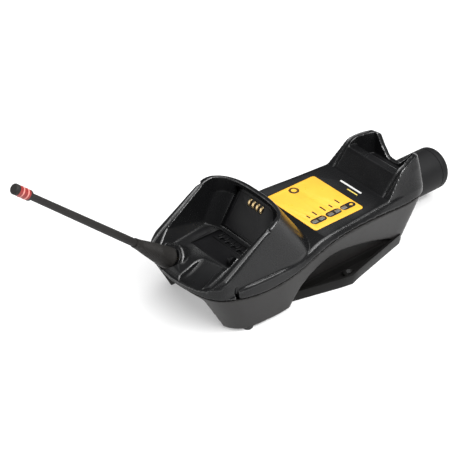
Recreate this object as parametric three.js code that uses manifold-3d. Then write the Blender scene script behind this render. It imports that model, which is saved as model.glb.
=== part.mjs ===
// Desk base station and charging cradle for a cordless handheld reader.
// Millimetres, +Z up. +X runs from the antenna end to the spare battery end, and Z = 0 is the desk.
import * as THREE from 'three';
import { ParametricGeometry } from 'three/addons/geometries/ParametricGeometry.js';
import { mergeVertices } from 'three/addons/utils/BufferGeometryUtils.js';
import Module from 'manifold-3d';

const wasm = await Module();
wasm.setup();

// ---------- driving dimensions ----------

const GAP = 0.3; // clearance between neighbours that touch
const WALL = 2.4; // housing wall
const RING_STEPS = 34; // facets along each half of a plan outline
const FAR_END_X = 131.5;
const DECK_Z = 47.8;
const BODY_BASE_Z = 20; // the upper body is built from here and cut at the parting line
const SHELL_FLOOR_Z = 3; // underside of the lower shell
const PARTING_TOP_Z = 52;

// Half width of the body at the parting line, from the nose to the far end: [x, half width].
const BODY_HALF = [
  [-107.5, 0], [-107, 9], [-105.6, 19], [-103.2, 29], [-100, 36.5], [-96, 41.5], [-90.5, 45],
  [-83, 47.2], [-72, 48.8], [-58, 49.5], [-40, 49.2], [-20, 48.2], [0, 46.8], [25, 44.8],
  [50, 43], [75, 41.4], [100, 39.9], [114, 39.1], [122.5, 37.9], [127.8, 35], [130.6, 29],
  [FAR_END_X, 18], [FAR_END_X, 0],
];

// Half width of the lower shell's underside.
const BASE_HALF = [
  [-86.5, 0], [-86.2, 9], [-85.4, 19], [-84, 28], [-81.5, 35.5], [-77.5, 41.5], [-71, 46],
  [-62, 47.8], [-48, 48.6], [-31, 48.4], [-15, 46], [0, 44], [20, 42.2], [40, 40.6], [60, 39],
  [80, 38], [96, 37], [104, 35.8], [109, 33.4], [111.8, 28.5], [112.8, 21], [113, 10], [113, 0],
];

// Height of the parting line and of the flange's top edge along X.
const PARTING = [
  [-112, 39.5], [-97, 38], [-80, 35], [-60, 31.8], [-41, 30.8], [-18, 33], [1, 38.2], [17, 41.6],
  [30, 43], [55, 42.6], [80, 40.8], [105, 38.4], [132, 40],
];
const FLANGE_TOP = [
  [-112, 43.4], [-97, 43.6], [-80, 43], [-60, 42.4], [-38, 41.4], [-20, 40.6], [-8, 42.4], [4, 46.4],
  [14, DECK_Z], [60, DECK_Z], [100, DECK_Z], [132, DECK_Z],
];

// How far the side leans in above the parting line: [x, lean]. The flange starts as a step at x = -78.
const FLANGE_LEAN = [[-112, 3.6], [-78.2, 3.6], [-78, 1], [-30, 1], [0, 2.6], [132, 2.6]];

// Reader hood
const HOOD_TOP_Z = 84.2;
const HOOD_RIM = [[-118, 38], [-106, 42.4], [-98, 47.4], [-48, 79.6], [-42, 82.7], [-36, HOOD_TOP_Z]];
const HOOD_BASE = { half: 45.8, back: 8.5, corner: 34, power: 3 };
const HOOD_CREST = { half: 43.2, back: -20.2, corner: 31, power: 2.7 };

// Reader cup inside the hood
const CUP_FLOOR_Z = 45.6;
const CUP_HALF_TOP = 38.8;
const CUP_HALF_LEDGE = 35.8;
const CUP_HALF_FLOOR = 23;
const CUP_LEDGE = { x: -37, z: 46.6, slope: 0.22 }; // the floor's side edges rise towards the nose
const CUP_FRONT_X = -113;

// Rounded hollow in the nose, beside the antenna: a short lying barrel with blunt ends.
const SCOOP = { x: -91.5, y: -15.5, z: 74.4, r: 34, half: 7, end: 0.36, turn: Math.PI / 180 * 12 };
const CUP_WALL_FOOT = { x: -39.2, z: CUP_FLOOR_Z }; // foot of the leaning back wall
const CUP_WALL_ANGLE = Math.PI / 180 * 58.5;

// Charging contacts on the back wall, measured up the wall from its foot
const CONTACT = { pitch: 4.7, width: 2.2, low: 27, high: 33, depth: 4, proud: 0.9, slack: 0.35 };
const PANEL = { half: 23, low: 2, high: 37, thick: 2 };

// Deck details
const LABEL = { x0: 13.3, x1: 65.4, half: 30.3, thick: 0.4, corner: 2.5 };
const BUTTON = { x: 37.8, y: 23.8, r: 3.6, travel: 0.5 };
const WINDOW_XS = [21.6, 28.8, 38.4, 45.8, 52.8];
const WINDOW_Y = -20.5;
const WINDOW_SIZE = { length: 5.2, width: 3.2 };

// Handle cup
const HANDLE = {
  frontX: 84,
  wallX: 101.5,
  wallZ: 64,
  channelHalf: 27.6,
  channelBack: 22,
  pocketFloorZ: 50.5,
};

// Mouth of the notch in the far end: [y, z].
const NOTCH = [
  [-21, 71.5], [-14.5, 62], [-7, 53.4], [-4, 52.4], [4, 52.4], [7, 53.4], [14.5, 62], [21, 71.5],
];

// Antenna
const ANTENNA = { x: -95, y: 18, z: 43.5, tilt: Math.PI / 180 * 42.6, length: 174 };
const SEAT_BOSS_R = 12.4; // round boss under the antenna's seat
const WHIP = { start: 30.3, end: 158, rBase: 3.2, rTip: 2.55 };
const BAND_SPOTS = [162, 166.5];

// Spare battery, lying along X
const BATTERY = { z: 26.5, r: 18.8, inner: 90, seam: 171.5, outer: 181.2 };
const TERMINAL_YS = [-7.5, -2.5, 2.5, 7.5];
const SLEEVE = { inner: 19.2, outer: 20.4, x0: 84, x1: 114.5 };

// Mounting bracket
const BRACKET = { rimZ: 8.5, floor: 2.4, wall: 2.6, x0: -20, x1: 107, tipX: 34, tipY: 54.4 };
const CHANNEL_HALF = 35.6; // the shell's core between its side arches

// Outline of the arch in each side of the lower shell.
const ARCH = [
  [-29.5, -1], [-26, 4], [-22, 9], [-14, 16.6], [-3, 23.4], [8, 27.4], [19, 29.2], [31, 28.4],
  [52, 23.4], [75, 15.8], [88, 10.6], [97, 5], [99, -1],
];

const FOOT = { x: -66.5, y: 43, r: 4.5, height: 3 };
const SCREW_SPOTS = [[-52, 38.5], [-52, -38.5], [92, 29], [92, -29]];
const BOSS_ROOT_Z = 46.4; // the upper bosses and posts run up into the deck
const BRACKET_SCREW_XS = [20, 70];

// Electronics, hung from the deck
const BOARD = { x0: -8, x1: 68, half: 31, z: 37.4, top: 39 };
const BOARD_POSTS = [[13, 27], [13, -27], [64, 27], [64, -27]];
const SOCKETS = { hostX: 8, powerX: 26, z: 15 };

// ---------- solids ----------

// A closed three.js geometry as a solid that can be joined and cut.
function toSolid(geometry) {
  geometry.deleteAttribute('normal');
  geometry.deleteAttribute('uv');
  const merged = mergeVertices(geometry, 1e-4);
  const index = merged.index.array;
  const triangles = [];
  for (let i = 0; i < index.length; i += 3) {
    const [a, b, c] = [index[i], index[i + 1], index[i + 2]];
    if (a !== b && b !== c && c !== a) triangles.push(a, b, c);
  }
  const mesh = new wasm.Mesh({
    numProp: 3,
    vertProperties: new Float32Array(merged.attributes.position.array),
    triVerts: new Uint32Array(triangles),
  });
  return new wasm.Manifold(mesh);
}

function toGeometry(solid) {
  const mesh = solid.getMesh();
  const geometry = new THREE.BufferGeometry();
  geometry.setAttribute('position', new THREE.BufferAttribute(new Float32Array(mesh.vertProperties), 3));
  geometry.setIndex(new THREE.BufferAttribute(new Uint32Array(mesh.triVerts), 1));
  geometry.computeVertexNormals();
  return geometry;
}

const join = (first, ...rest) => rest.reduce((sum, solid) => sum.add(solid), first);
const cut = (first, ...rest) => rest.reduce((left, solid) => left.subtract(solid), first);

function box(x0, x1, y0, y1, z0, z1) {
  const geometry = new THREE.BoxGeometry(x1 - x0, y1 - y0, z1 - z0);
  geometry.translate((x0 + x1) / 2, (y0 + y1) / 2, (z0 + z1) / 2);
  return toSolid(geometry);
}

function cylinderZ(x, y, z0, z1, r, sides = 24, rTop = r) {
  const geometry = new THREE.CylinderGeometry(rTop, r, z1 - z0, sides);
  geometry.rotateX(Math.PI / 2);
  geometry.translate(x, y, (z0 + z1) / 2);
  return toSolid(geometry);
}

function cylinderX(x0, x1, y, z, r, sides = 36) {
  const geometry = new THREE.CylinderGeometry(r, r, x1 - x0, sides);
  geometry.rotateZ(Math.PI / 2);
  geometry.translate((x0 + x1) / 2, y, z);
  return toSolid(geometry);
}

function cylinderY(x, y0, y1, z, r, sides = 24) {
  const geometry = new THREE.CylinderGeometry(r, r, y1 - y0, sides);
  geometry.translate(x, (y0 + y1) / 2, z);
  return toSolid(geometry);
}

function shapeOf(points) {
  return new THREE.Shape(points.map(([a, b]) => new THREE.Vector2(a, b)));
}

// An outline in plan, raised from z0 to z1.
function prismZ(shape, z0, z1) {
  const options = { depth: z1 - z0, bevelEnabled: false, curveSegments: 8 };
  const geometry = new THREE.ExtrudeGeometry(shape, options);
  geometry.translate(0, 0, z0);
  return toSolid(geometry);
}

// A side profile of [x, z] points, spread from y0 to y1.
function prismY(points, y0, y1) {
  const geometry = new THREE.ExtrudeGeometry(shapeOf(points), { depth: y1 - y0, bevelEnabled: false });
  geometry.rotateX(Math.PI / 2);
  geometry.translate(0, y1, 0);
  return toSolid(geometry);
}

// A closed body through rings of Vector3 that all have the same number of points.
function loft(rings) {
  const count = rings[0].length;
  const stacks = rings.length + 1;
  const middle = (ring) => ring.reduce((sum, p) => sum.add(p), new THREE.Vector3()).divideScalar(count);
  const rows = [rings[0].map(() => middle(rings[0])), ...rings, rings[0].map(() => middle(rings.at(-1)))];
  const surface = (u, v, target) => {
    const row = rows[Math.round(v * stacks)];
    target.copy(row[Math.round(u * count) % count]);
  };
  return toSolid(new ParametricGeometry(surface, count, stacks));
}

// ---------- curves ----------

// A smooth line through [x, value] points, read at x.
function smoothLine(points) {
  const stops = points.map(([x, z]) => new THREE.Vector3(x, 0, z));
  const curve = new THREE.CatmullRomCurve3(stops, false, 'centripetal');
  const samples = curve.getPoints(points.length * 12);
  return (x) => {
    const next = samples.findIndex((p) => p.x >= x);
    if (next <= 0) return next === 0 ? samples[0].z : samples.at(-1).z;
    const [a, b] = [samples[next - 1], samples[next]];
    return THREE.MathUtils.lerp(a.z, b.z, (x - a.x) / Math.max(b.x - a.x, 1e-6));
  };
}

const partingZ = smoothLine(PARTING);
const flangeZ = smoothLine(FLANGE_TOP);

// A closed plan ring from a half outline that starts and ends on the centre line.
// It starts at the nose, and runs along the -Y side first so that its normal points up.
function planRing(half, z, inset = 0, count = RING_STEPS) {
  const stops = half.map(([x, y]) => new THREE.Vector3(x, y, 0));
  const curve = new THREE.CatmullRomCurve3(stops, false, 'centripetal');
  const side = curve.getSpacedPoints(count);
  const near = side.map((p) => new THREE.Vector3(p.x, -p.y, 0));
  const far = side.slice(1, -1).reverse();
  return insetRing([...near, ...far], inset).map((p) => new THREE.Vector3(p.x, p.y, z));
}

function insetRing(ring, inset) {
  const count = ring.length;
  return ring.map((p, i) => {
    const along = ring[(i + 1) % count].clone().sub(ring[(i + count - 1) % count]).normalize();
    return new THREE.Vector3(p.x - along.y * inset, p.y + along.x * inset, p.z);
  });
}

// The hood's half outline: straight sides and a rounded back.
function hoodHalf({ half, back, corner, power }) {
  const points = BODY_HALF.filter(([x]) => x < -88).map(([x, y]) => [x, Math.min(y * 0.985, half)]);
  points.push([-75, half], [back - corner - 8, half]);
  for (let i = 0; i <= 10; i += 1) {
    const angle = Math.PI / 2 * (i / 10);
    const x = back - corner + corner * Math.sin(angle) ** (2 / power);
    points.push([x, half * Math.cos(angle) ** (2 / power)]);
  }
  return points;
}

// ---------- the upper shell's shapes; grow > 0 makes them larger, < 0 smaller ----------

// A value read at x from [x, value] points joined by straight lines.
function readAt(points, x) {
  const next = points.findIndex((p) => p[0] >= x);
  if (next <= 0) return points.at(next)[1];
  const [a, b] = [points[next - 1], points[next]];
  return THREE.MathUtils.lerp(a[1], b[1], (x - a[0]) / (b[0] - a[0]));
}

// Nose, side flange and deck, as sections along X.
function deckBody(grow) {
  const stations = BODY_HALF.slice(1, -2).map(([x]) => x);
  const between = stations.slice(9).map((x, i) => (x + stations[8 + i]) / 2);
  const leanSteps = FLANGE_LEAN.slice(1, 4).map(([x]) => x);
  const xs = [-107.4, ...stations, ...between, ...leanSteps, 127.9].sort((a, b) => a - b);
  const rings = xs.map((x) => {
    const half = Math.max(readAt(BODY_HALF, x) + grow, 1);
    const top = flangeZ(x) + grow;
    const draft = Math.min(readAt(FLANGE_LEAN, x), half / 3);
    const foot = partingZ(x);
    const moved = x - grow * Math.sign(10 - x) * (Math.abs(x - 10) > 90 ? 1 : 0);
    return [[-half, BODY_BASE_Z], [-half, foot], [-half + draft, top], [half - draft, top], [half, foot],
      [half, BODY_BASE_Z]].map(([y, z]) => new THREE.Vector3(moved, y, z));
  });
  return loft(rings.map((ring) => ring.reverse()));
}

function hoodBody(grow) {
  const rings = [
    planRing(hoodHalf(HOOD_BASE), BODY_BASE_Z, -grow),
    planRing(hoodHalf(HOOD_BASE), DECK_Z - 4, -grow),
    planRing(hoodHalf(HOOD_CREST), HOOD_TOP_Z + grow, -grow),
  ];
  const drop = -grow * 1.18;
  const rim = HOOD_RIM.map(([x, z]) => [x, z - drop]);
  const profile = [[-118, BODY_BASE_Z - 5], ...rim, [20, HOOD_TOP_Z - drop], [20, BODY_BASE_Z - 5]];
  return loft(rings).intersect(prismY(profile.reverse(), -60, 60));
}

// The two horns and the leaning front wall that hold the reader's handle.
function handleBody(grow) {
  const ring = (x0, frontHalf, backHalf, z) => {
    const half = [
      [x0, 0], [x0, frontHalf * 0.5], [x0, frontHalf - 2], [x0 + 1.5, frontHalf],
      [x0 + 14, frontHalf - 0.4],
      [FAR_END_X - 12, backHalf + 1.6], [FAR_END_X - 3.5, backHalf - 1.4], [FAR_END_X, backHalf - 7],
      [FAR_END_X, backHalf * 0.4], [FAR_END_X, 0],
    ];
    return planRing(half, z, -grow, 20);
  };
  const rings = [
    ring(HANDLE.frontX - 2, 37.6, 37.2, BODY_BASE_Z),
    ring(HANDLE.frontX - 2, 37.4, 36.8, DECK_Z - 2),
    ring(HANDLE.frontX + 2, 34.6, 31.6, 62),
    ring(HANDLE.frontX + 6, 32.4, 26.4, 74),
  ];
  const top = [
    [85.6, DECK_Z - 2], [103, 66.2], [106, 68.6], [112, 70.2], [120, 71.2], [127, 71], [132.5, 68.4],
  ];
  const raised = top.map(([x, z]) => [x - grow * 0.7, z + grow]);
  const profile = [[78, BODY_BASE_Z - 5], [78, DECK_Z - 2 + grow], ...raised];
  profile.push([135 + grow, 60], [135 + grow, BODY_BASE_Z - 5]);
  return loft(rings).intersect(prismY(profile.reverse(), -60, 60));
}

// The space that the reader's head drops into.
function cupSpace(grow) {
  const wallTop = 60;
  const lean = { x: Math.cos(CUP_WALL_ANGLE), z: Math.sin(CUP_WALL_ANGLE) };
  const side = [
    [CUP_FRONT_X, 44 - grow], [-92, 44.4 - grow], [-84, CUP_FLOOR_Z - grow],
    [CUP_WALL_FOOT.x + grow * 2.4, CUP_WALL_FOOT.z - grow],
    [CUP_WALL_FOOT.x + lean.x * wallTop + grow * 2.4, CUP_WALL_FOOT.z + lean.z * wallTop],
    [CUP_FRONT_X, CUP_WALL_FOOT.z + lean.z * wallTop],
  ];
  const ring = (x) => {
    const floor = CUP_FLOOR_Z - 2 - grow;
    const ledge = Math.max(CUP_LEDGE.z + (CUP_LEDGE.x - x) * CUP_LEDGE.slope, CUP_FLOOR_Z) - grow;
    const roof = 100;
    return [
      [-CUP_HALF_FLOOR - grow, floor], [CUP_HALF_FLOOR + grow, floor], [CUP_HALF_LEDGE + grow, ledge],
      [CUP_HALF_TOP + grow, 84], [CUP_HALF_TOP + grow, roof], [-CUP_HALF_TOP - grow, roof],
      [-CUP_HALF_TOP - grow, 84], [-CUP_HALF_LEDGE - grow, ledge],
    ].map(([y, z]) => new THREE.Vector3(x, y, z));
  };
  const trough = loft([ring(CUP_FRONT_X), ring(CUP_LEDGE.x), ring(0)]);
  const plan = planRing([
    [-120, 0], [-120, 25], [-119, 33], [-108, 36], [-84, 38], [-66, 38.8], [-42, 38.4], [-34.5, 36.4],
    [-29, 31.5], [-25.6, 23], [-24, 12], [-23.6, 0],
  ], 0, -grow);
  const walls = loft([plan, plan.map((p) => new THREE.Vector3(p.x, p.y, 110))]);
  return join(trough.intersect(prismY(side.reverse(), -50, 50)).intersect(walls), scoop(grow));
}

function scoop(grow) {
  const r = SCOOP.r + grow;
  const place = (geometry) => {
    geometry.rotateZ(SCOOP.turn);
    geometry.translate(SCOOP.x, SCOOP.y, SCOOP.z);
    return toSolid(geometry);
  };
  const barrel = new THREE.CylinderGeometry(r, r, 2 * SCOOP.half, 48);
  const ends = [-1, 1].map((side) => {
    const ball = new THREE.SphereGeometry(r, 48, 24);
    ball.rotateX(Math.PI / 2);
    ball.scale(1, SCOOP.end, 1);
    ball.translate(0, side * SCOOP.half, 0);
    return place(ball);
  });
  const low = box(-125, -60, -40, 30, 30, 58);
  return join(place(barrel), ...ends).intersect(low);
}

// The channel between the horns, the pocket behind the front wall and the notch in the far end.
function handleSpace(grow) {
  const channel = [
    [60, DECK_Z + 0.05 + grow], [85, DECK_Z + 0.05 - grow], [HANDLE.wallX, HANDLE.wallZ - grow],
    [110 - grow, HANDLE.wallZ - 1.5 - grow], [110 - grow, HANDLE.pocketFloorZ - grow],
    [127 + grow * 0.4, HANDLE.pocketFloorZ - grow], [127 + grow * 0.4, 90], [60, 90],
  ];
  const front = HANDLE.channelHalf + grow;
  const back = HANDLE.channelBack + grow;
  const plan = shapeOf([
    [60, -front], [110, -front], [127 + grow, -back], [127 + grow, back], [110, front], [60, front],
  ]);
  const outline = NOTCH.map(([y, z]) => new THREE.Vector3(0, y + Math.sign(y) * grow, z - grow));
  outline.push(new THREE.Vector3(0, 26 + grow, 80), new THREE.Vector3(0, -26 - grow, 80));
  const mouth = loft([110, 150].map((x) => outline.map((p) => new THREE.Vector3(x, p.y, p.z))));
  return prismY(channel.reverse(), -40, 40).intersect(prismZ(plan, 30, 95)).add(mouth);
}

// ---------- placement helpers ----------

// Carries a solid built around the origin, with its axis along +Z, onto the antenna's axis.
const antennaFrame = new THREE.Matrix4()
  .makeRotationY(-(Math.PI / 2 - ANTENNA.tilt))
  .setPosition(ANTENNA.x, ANTENNA.y, ANTENNA.z);

function onAntenna(geometry) {
  geometry.applyMatrix4(antennaFrame);
  return toSolid(geometry);
}

// A turned piece on the antenna's axis, from [radius, distance] points.
function turned(points, sides = 24) {
  const geometry = new THREE.LatheGeometry(points.map(([r, s]) => new THREE.Vector2(r, s)), sides);
  geometry.rotateX(Math.PI / 2);
  return onAntenna(geometry);
}

// Carries a solid onto the cup's back wall: local x runs along Y, local y up the wall, +z out of it.
const wallFrame = new THREE.Matrix4().makeBasis(
  new THREE.Vector3(0, -1, 0),
  new THREE.Vector3(Math.cos(CUP_WALL_ANGLE), 0, Math.sin(CUP_WALL_ANGLE)),
  new THREE.Vector3(-Math.sin(CUP_WALL_ANGLE), 0, Math.cos(CUP_WALL_ANGLE)),
).setPosition(CUP_WALL_FOOT.x, 0, CUP_WALL_FOOT.z);

function onWall(x0, x1, y0, y1, z0, z1) {
  const geometry = new THREE.BoxGeometry(x1 - x0, y1 - y0, z1 - z0);
  geometry.translate((x0 + x1) / 2, (y0 + y1) / 2, (z0 + z1) / 2);
  geometry.applyMatrix4(wallFrame);
  return toSolid(geometry);
}

// ---------- shared openings ----------

const contactYs = [-1.5, -0.5, 0.5, 1.5].map((step) => step * CONTACT.pitch);

const contactHole = (y, grow) => onWall(
  y - CONTACT.width / 2 - grow,
  y + CONTACT.width / 2 + grow,
  CONTACT.low - grow,
  CONTACT.high + grow,
  -6,
  3,
);

const belowParting = (lift) => {
  const line = [];
  for (let x = -116; x <= 136; x += 6) line.push([x, partingZ(x) + lift]);
  return prismY([...line, [136, -5], [-116, -5]].reverse(), -70, 70);
};

const labelShape = (grow) => {
  const [x0, x1, half, r] = [LABEL.x0 - grow, LABEL.x1 + grow, LABEL.half + grow, LABEL.corner];
  const shape = new THREE.Shape();
  shape.moveTo(x0 + r, -half);
  shape.lineTo(x1 - r, -half);
  shape.quadraticCurveTo(x1, -half, x1, -half + r);
  shape.lineTo(x1, half - r);
  shape.quadraticCurveTo(x1, half, x1 - r, half);
  shape.lineTo(x0 + r, half);
  shape.quadraticCurveTo(x0, half, x0, half - r);
  shape.lineTo(x0, -half + r);
  shape.quadraticCurveTo(x0, -half, x0 + r, -half);
  return shape;
};

const windowBlock = (x, grow, z0, z1) => {
  const along = WINDOW_SIZE.length / 2 + grow;
  const across = WINDOW_SIZE.width / 2 + grow;
  return box(x - along, x + along, WINDOW_Y - across, WINDOW_Y + across, z0, z1);
};

const batteryHole = () => cylinderX(SLEEVE.x0 - 1, 150, 0, BATTERY.z, SLEEVE.outer + GAP);

// ---------- the two shells ----------

function topHousing() {
  const outer = join(deckBody(0), hoodBody(0), handleBody(0));
  const inner = join(deckBody(-WALL), hoodBody(-WALL), handleBody(-WALL));
  const hollow = cut(inner, cupSpace(WALL), handleSpace(WALL));
  const seat = turned([[0, -9], [14, -9], [14, -1], [0, -1]]);
  const boss = turned([[0, -14], [13.4, -14], [13.4, -1.6], [12.4, -0.6], [0, -0.6]]);
  const bosses = SCREW_SPOTS.map(([x, y]) => cylinderZ(x, y, 30, x < 0 ? 54 : BOSS_ROOT_Z, 4, 16));
  const posts = BOARD_POSTS.map(([x, y]) => cylinderZ(x, y, BOARD.top + GAP, BOSS_ROOT_Z, 2.6, 12));
  const pad = box(-73, -39, -24, 24, 41.4, 44.5);
  let shell = cut(join(cut(outer, hollow), pad, ...bosses, ...posts), cupSpace(0), handleSpace(0));
  shell = join(shell, boss.intersect(outer.add(seat)));
  shell = cut(shell, belowParting(GAP / 2), batteryHole());
  shell = join(shell, turned([[0, -5], [SEAT_BOSS_R, -5], [SEAT_BOSS_R, -1.6], [0, -1.6]]));
  shell = cut(shell, turned([[0, -20], [4.9, -20], [4.9, 5], [0, 5]]));
  shell = cut(shell, turned([[0, -2.6], [11.4, -2.6], [11.4, 8], [0, 8]]));
  shell = cut(shell, cylinderZ(BUTTON.x, BUTTON.y, 40, 60, BUTTON.r + 0.35));
  shell = cut(shell, prismZ(labelShape(GAP), DECK_Z - 0.3, 60));
  shell = cut(shell, ...WINDOW_XS.map((x) => windowBlock(x, 0.3, 40, 60)));
  const panelSide = PANEL.half + GAP;
  shell = cut(shell, onWall(-panelSide, panelSide, PANEL.low - GAP, PANEL.high + GAP, -PANEL.thick - GAP, 6));
  shell = cut(shell, onWall(-10.5, 10.5, CONTACT.low - 3, CONTACT.high + 3, -12, 0));
  shell = cut(shell, box(-70.5 - GAP, -42 + GAP, -21.5 - GAP, 21.5 + GAP, CUP_FLOOR_Z - 1.9, 60));
  const pilots = SCREW_SPOTS.map(([x, y]) => cylinderZ(x, y, 20, 40, 1.7, 12));
  return cut(shell, ...pilots);
}

function archRecess(grow) {
  const curve = new THREE.SplineCurve(ARCH.map(([x, z]) => new THREE.Vector2(x, z)));
  const line = curve.getPoints(24).map((p) => [p.x, Math.max(p.y, -1) + grow]);
  const left = [line[0][0] - grow, -2];
  const right = [line.at(-1)[0] + grow, -2];
  const side = () => [left, ...line, right].reverse();
  return join(
    prismY(side(), CHANNEL_HALF - grow, 70),
    prismY(side(), -70, -CHANNEL_HALF + grow),
  );
}

function lowerBody(inset) {
  const base = planRing(BASE_HALF, 2 + inset, inset);
  const top = planRing(BODY_HALF, 40, inset);
  const high = planRing(BODY_HALF, PARTING_TOP_Z, inset);
  return loft([base, top, high]);
}

// The nose's underside is hollowed between the two front legs.
function frontRecess(grow) {
  const side = [
    [-125, -5], [-125, 37.6 + grow], [-104.5, 37.6 + grow], [-101, 35.6 + grow], [-54 + grow, -5],
  ];
  const low = 33.5 + grow;
  const high = 29.5 + grow;
  const rings = [[low, -5], [high, 45]].map(([half, z]) => (
    [[-130, -half], [-40, -half], [-40, half], [-130, half]].map(([x, y]) => new THREE.Vector3(x, y, z))
  ));
  return prismY(side.reverse(), -60, 60).intersect(loft(rings));
}

function bottomHousing() {
  const core = box(-28, 140, -60, 60, -5, SHELL_FLOOR_Z);
  let shell = cut(lowerBody(0), archRecess(0), frontRecess(0), core);
  const floor = box(-31, 140, -60, 60, -5, SHELL_FLOOR_Z + WALL);
  const hollow = cut(lowerBody(WALL), archRecess(WALL), frontRecess(WALL), floor);
  const bosses = SCREW_SPOTS.map(([x, y]) => cylinderZ(x, y, 3.2, x < 0 ? 30 : 36, 4, 16));
  shell = join(cut(shell, hollow), ...bosses);
  shell = shell.intersect(belowParting(-GAP / 2));
  const drills = SCREW_SPOTS.map(([x, y]) => cylinderZ(x, y, -1, 50, 1.9, 12));
  const heads = SCREW_SPOTS.map(([x, y]) => cylinderZ(x, y, -1, 6.2, 3.3, 16));
  const nearWall = CHANNEL_HALF - WALL - 3;
  const host = box(SOCKETS.hostX - 7.2, SOCKETS.hostX + 7.2, nearWall, 50, SOCKETS.z - 6.2, SOCKETS.z + 6.2);
  const power = cylinderY(SOCKETS.powerX, nearWall, 50, SOCKETS.z, 5);
  const fixings = BRACKET_SCREW_XS.map((x) => cylinderZ(x, 0, 0, 12, 1.7, 12));
  const footSeats = [-1, 1].map((side) => cylinderZ(FOOT.x, side * FOOT.y, 0, 3.2, FOOT.r + 0.2));
  const seatRoom = turned([[0, -5.3], [SEAT_BOSS_R + GAP, -5.3], [SEAT_BOSS_R + GAP, 30], [0, 30]]);
  shell = cut(shell, batteryHole(), seatRoom);
  return cut(shell, ...drills, ...heads, host, power, ...fixings, ...footSeats);
}

// ---------- the bracket ----------

function mountingBracket() {
  const { x0, x1, tipX, tipY, wall, floor, rimZ } = BRACKET;
  const half = [
    [x0, 41], [tipX - 10, tipY - 1.8], [tipX, tipY], [tipX + 9, tipY - 2.6], [x1 - 5, 38.2], [x1, 35],
  ];
  const outline = [...half.map(([x, y]) => [x, -y]), ...half.slice().reverse()];
  const ring = outline.map(([x, y]) => new THREE.Vector3(x, y, 0));
  const shrunk = insetRing(ring, wall).map((p) => [p.x, p.y]);
  const plate = prismZ(shapeOf(outline), 0, rimZ);
  const tray = prismZ(shapeOf(shrunk), floor, rimZ + 5);
  const shellRoom = cut(
    lowerBody(-GAP),
    archRecess(-GAP),
    box(-28, 140, -60, 60, -5, SHELL_FLOOR_Z - GAP),
  );
  const wallY = CHANNEL_HALF + 0.5;
  const walls = [-1, 1].map((side) => {
    const [a, b] = side < 0 ? [-wallY - 2.4, -wallY] : [wallY, wallY + 2.4];
    return box(x0 + 1, 84, a, b, floor - 0.5, rimZ);
  });
  const tips = [-1, 1].map((side) => cylinderZ(tipX + 3.5, side * 47, 0.5, 5.4, 5.6));
  const holes = [-1, 1].map((side) => cylinderZ(tipX + 3.5, side * 47, -1, 9, 2.3, 16));
  const sinks = [-1, 1].map((side) => cylinderZ(tipX + 3.5, side * 47, 3.2, 5.5, 2.3, 20, 4.4));
  const fixings = BRACKET_SCREW_XS.map((x) => cylinderZ(x, 0, -1, 9, 1.8, 12));
  const heads = BRACKET_SCREW_XS.map((x) => cylinderZ(x, 0, -1, 1.5, 3.4, 16));
  const bare = join(cut(plate, tray, shellRoom), ...walls, ...tips);
  return cut(bare, ...holes, ...sinks, ...fixings, ...heads);
}

function screwUp(x, y, headZ, headR, headHeight, shaftR, tipZ) {
  const head = cylinderZ(x, y, headZ, headZ + headHeight, headR, 16);
  const slot = box(x - headR, x + headR, y - 0.4, y + 0.4, headZ - 1, headZ + 0.7);
  return cut(head.add(cylinderZ(x, y, headZ + headHeight - 0.1, tipZ, shaftR, 12)), slot);
}

const housingScrew = (x, y) => screwUp(x, y, 4.4, 2.8, 1.8, 1.4, x < 0 ? 38 : 40);
const bracketScrew = (x) => screwUp(x, 0, 0.3, 3, 1, 1.4, 5.2);

// ---------- cup, contacts and label ----------

function cupFloorInsert() {
  const top = CUP_FLOOR_Z - 0.9;
  const plate = box(-70.5, -42, -21.5, 21.5, CUP_FLOOR_Z - 1.6, top);
  const step = box(-52, -42, -18, 18, top - 0.1, top + 0.7);
  const ribs = [-14, -7, 0, 7, 14].map((y) => box(-49, -43, y - 0.8, y + 0.8, top, top + 2));
  const slots = [-10.5, -3.5, 3.5, 10.5].map((y) => box(-50.5, -47, y - 1.6, y + 1.6, top - 2, top + 3));
  const rail = box(-70.5, -68.6, -21.5, 21.5, top - 0.1, top + 0.5);
  return cut(join(plate, step, rail, ...ribs), ...slots);
}

// Small catch in the near corner of the recess, which holds the reader's foot.
function cupClip() {
  const top = CUP_FLOOR_Z - 0.9;
  const block = box(-66.5, -59.5, -21.2, -17.4, top + 0.02, top + 3.4);
  const nose = cylinderY(-63, -18.4, -16.2, top + 3.4, 1.6, 16);
  const round = cylinderY(-63, -21.2, -17.4, top + 3.3, 3.5, 20);
  const hook = cut(round, box(-70, -56, -25, -10, top - 5, top + 3.3));
  return join(block, hook, nose);
}

function contactPanel() {
  const plate = onWall(-PANEL.half, PANEL.half, PANEL.low, PANEL.high, -PANEL.thick, 0);
  const field = onWall(-PANEL.half + 2.5, PANEL.half - 2.5, PANEL.low + 2, PANEL.high - 3, -0.5, 2);
  return cut(plate, field, ...contactYs.map((y) => contactHole(y, CONTACT.slack)));
}

function contactCarrier() {
  const block = onWall(-10, 10, CONTACT.low - 2.5, CONTACT.high + 2.5, -9.5, -PANEL.thick - GAP);
  const wells = contactYs.map((y) => onWall(
    y - CONTACT.width / 2 - CONTACT.slack,
    y + CONTACT.width / 2 + CONTACT.slack,
    CONTACT.low - CONTACT.slack,
    CONTACT.high + CONTACT.slack,
    -7.5,
    0,
  ));
  return cut(block, ...wells);
}

function chargeContact(y) {
  const half = CONTACT.width / 2;
  const stem = onWall(y - half, y + half, CONTACT.low, CONTACT.high, -CONTACT.depth, 0);
  const face = onWall(y - half, y + half, CONTACT.low + 1, CONTACT.high - 1, -0.1, CONTACT.proud);
  return stem.add(face);
}

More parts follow.
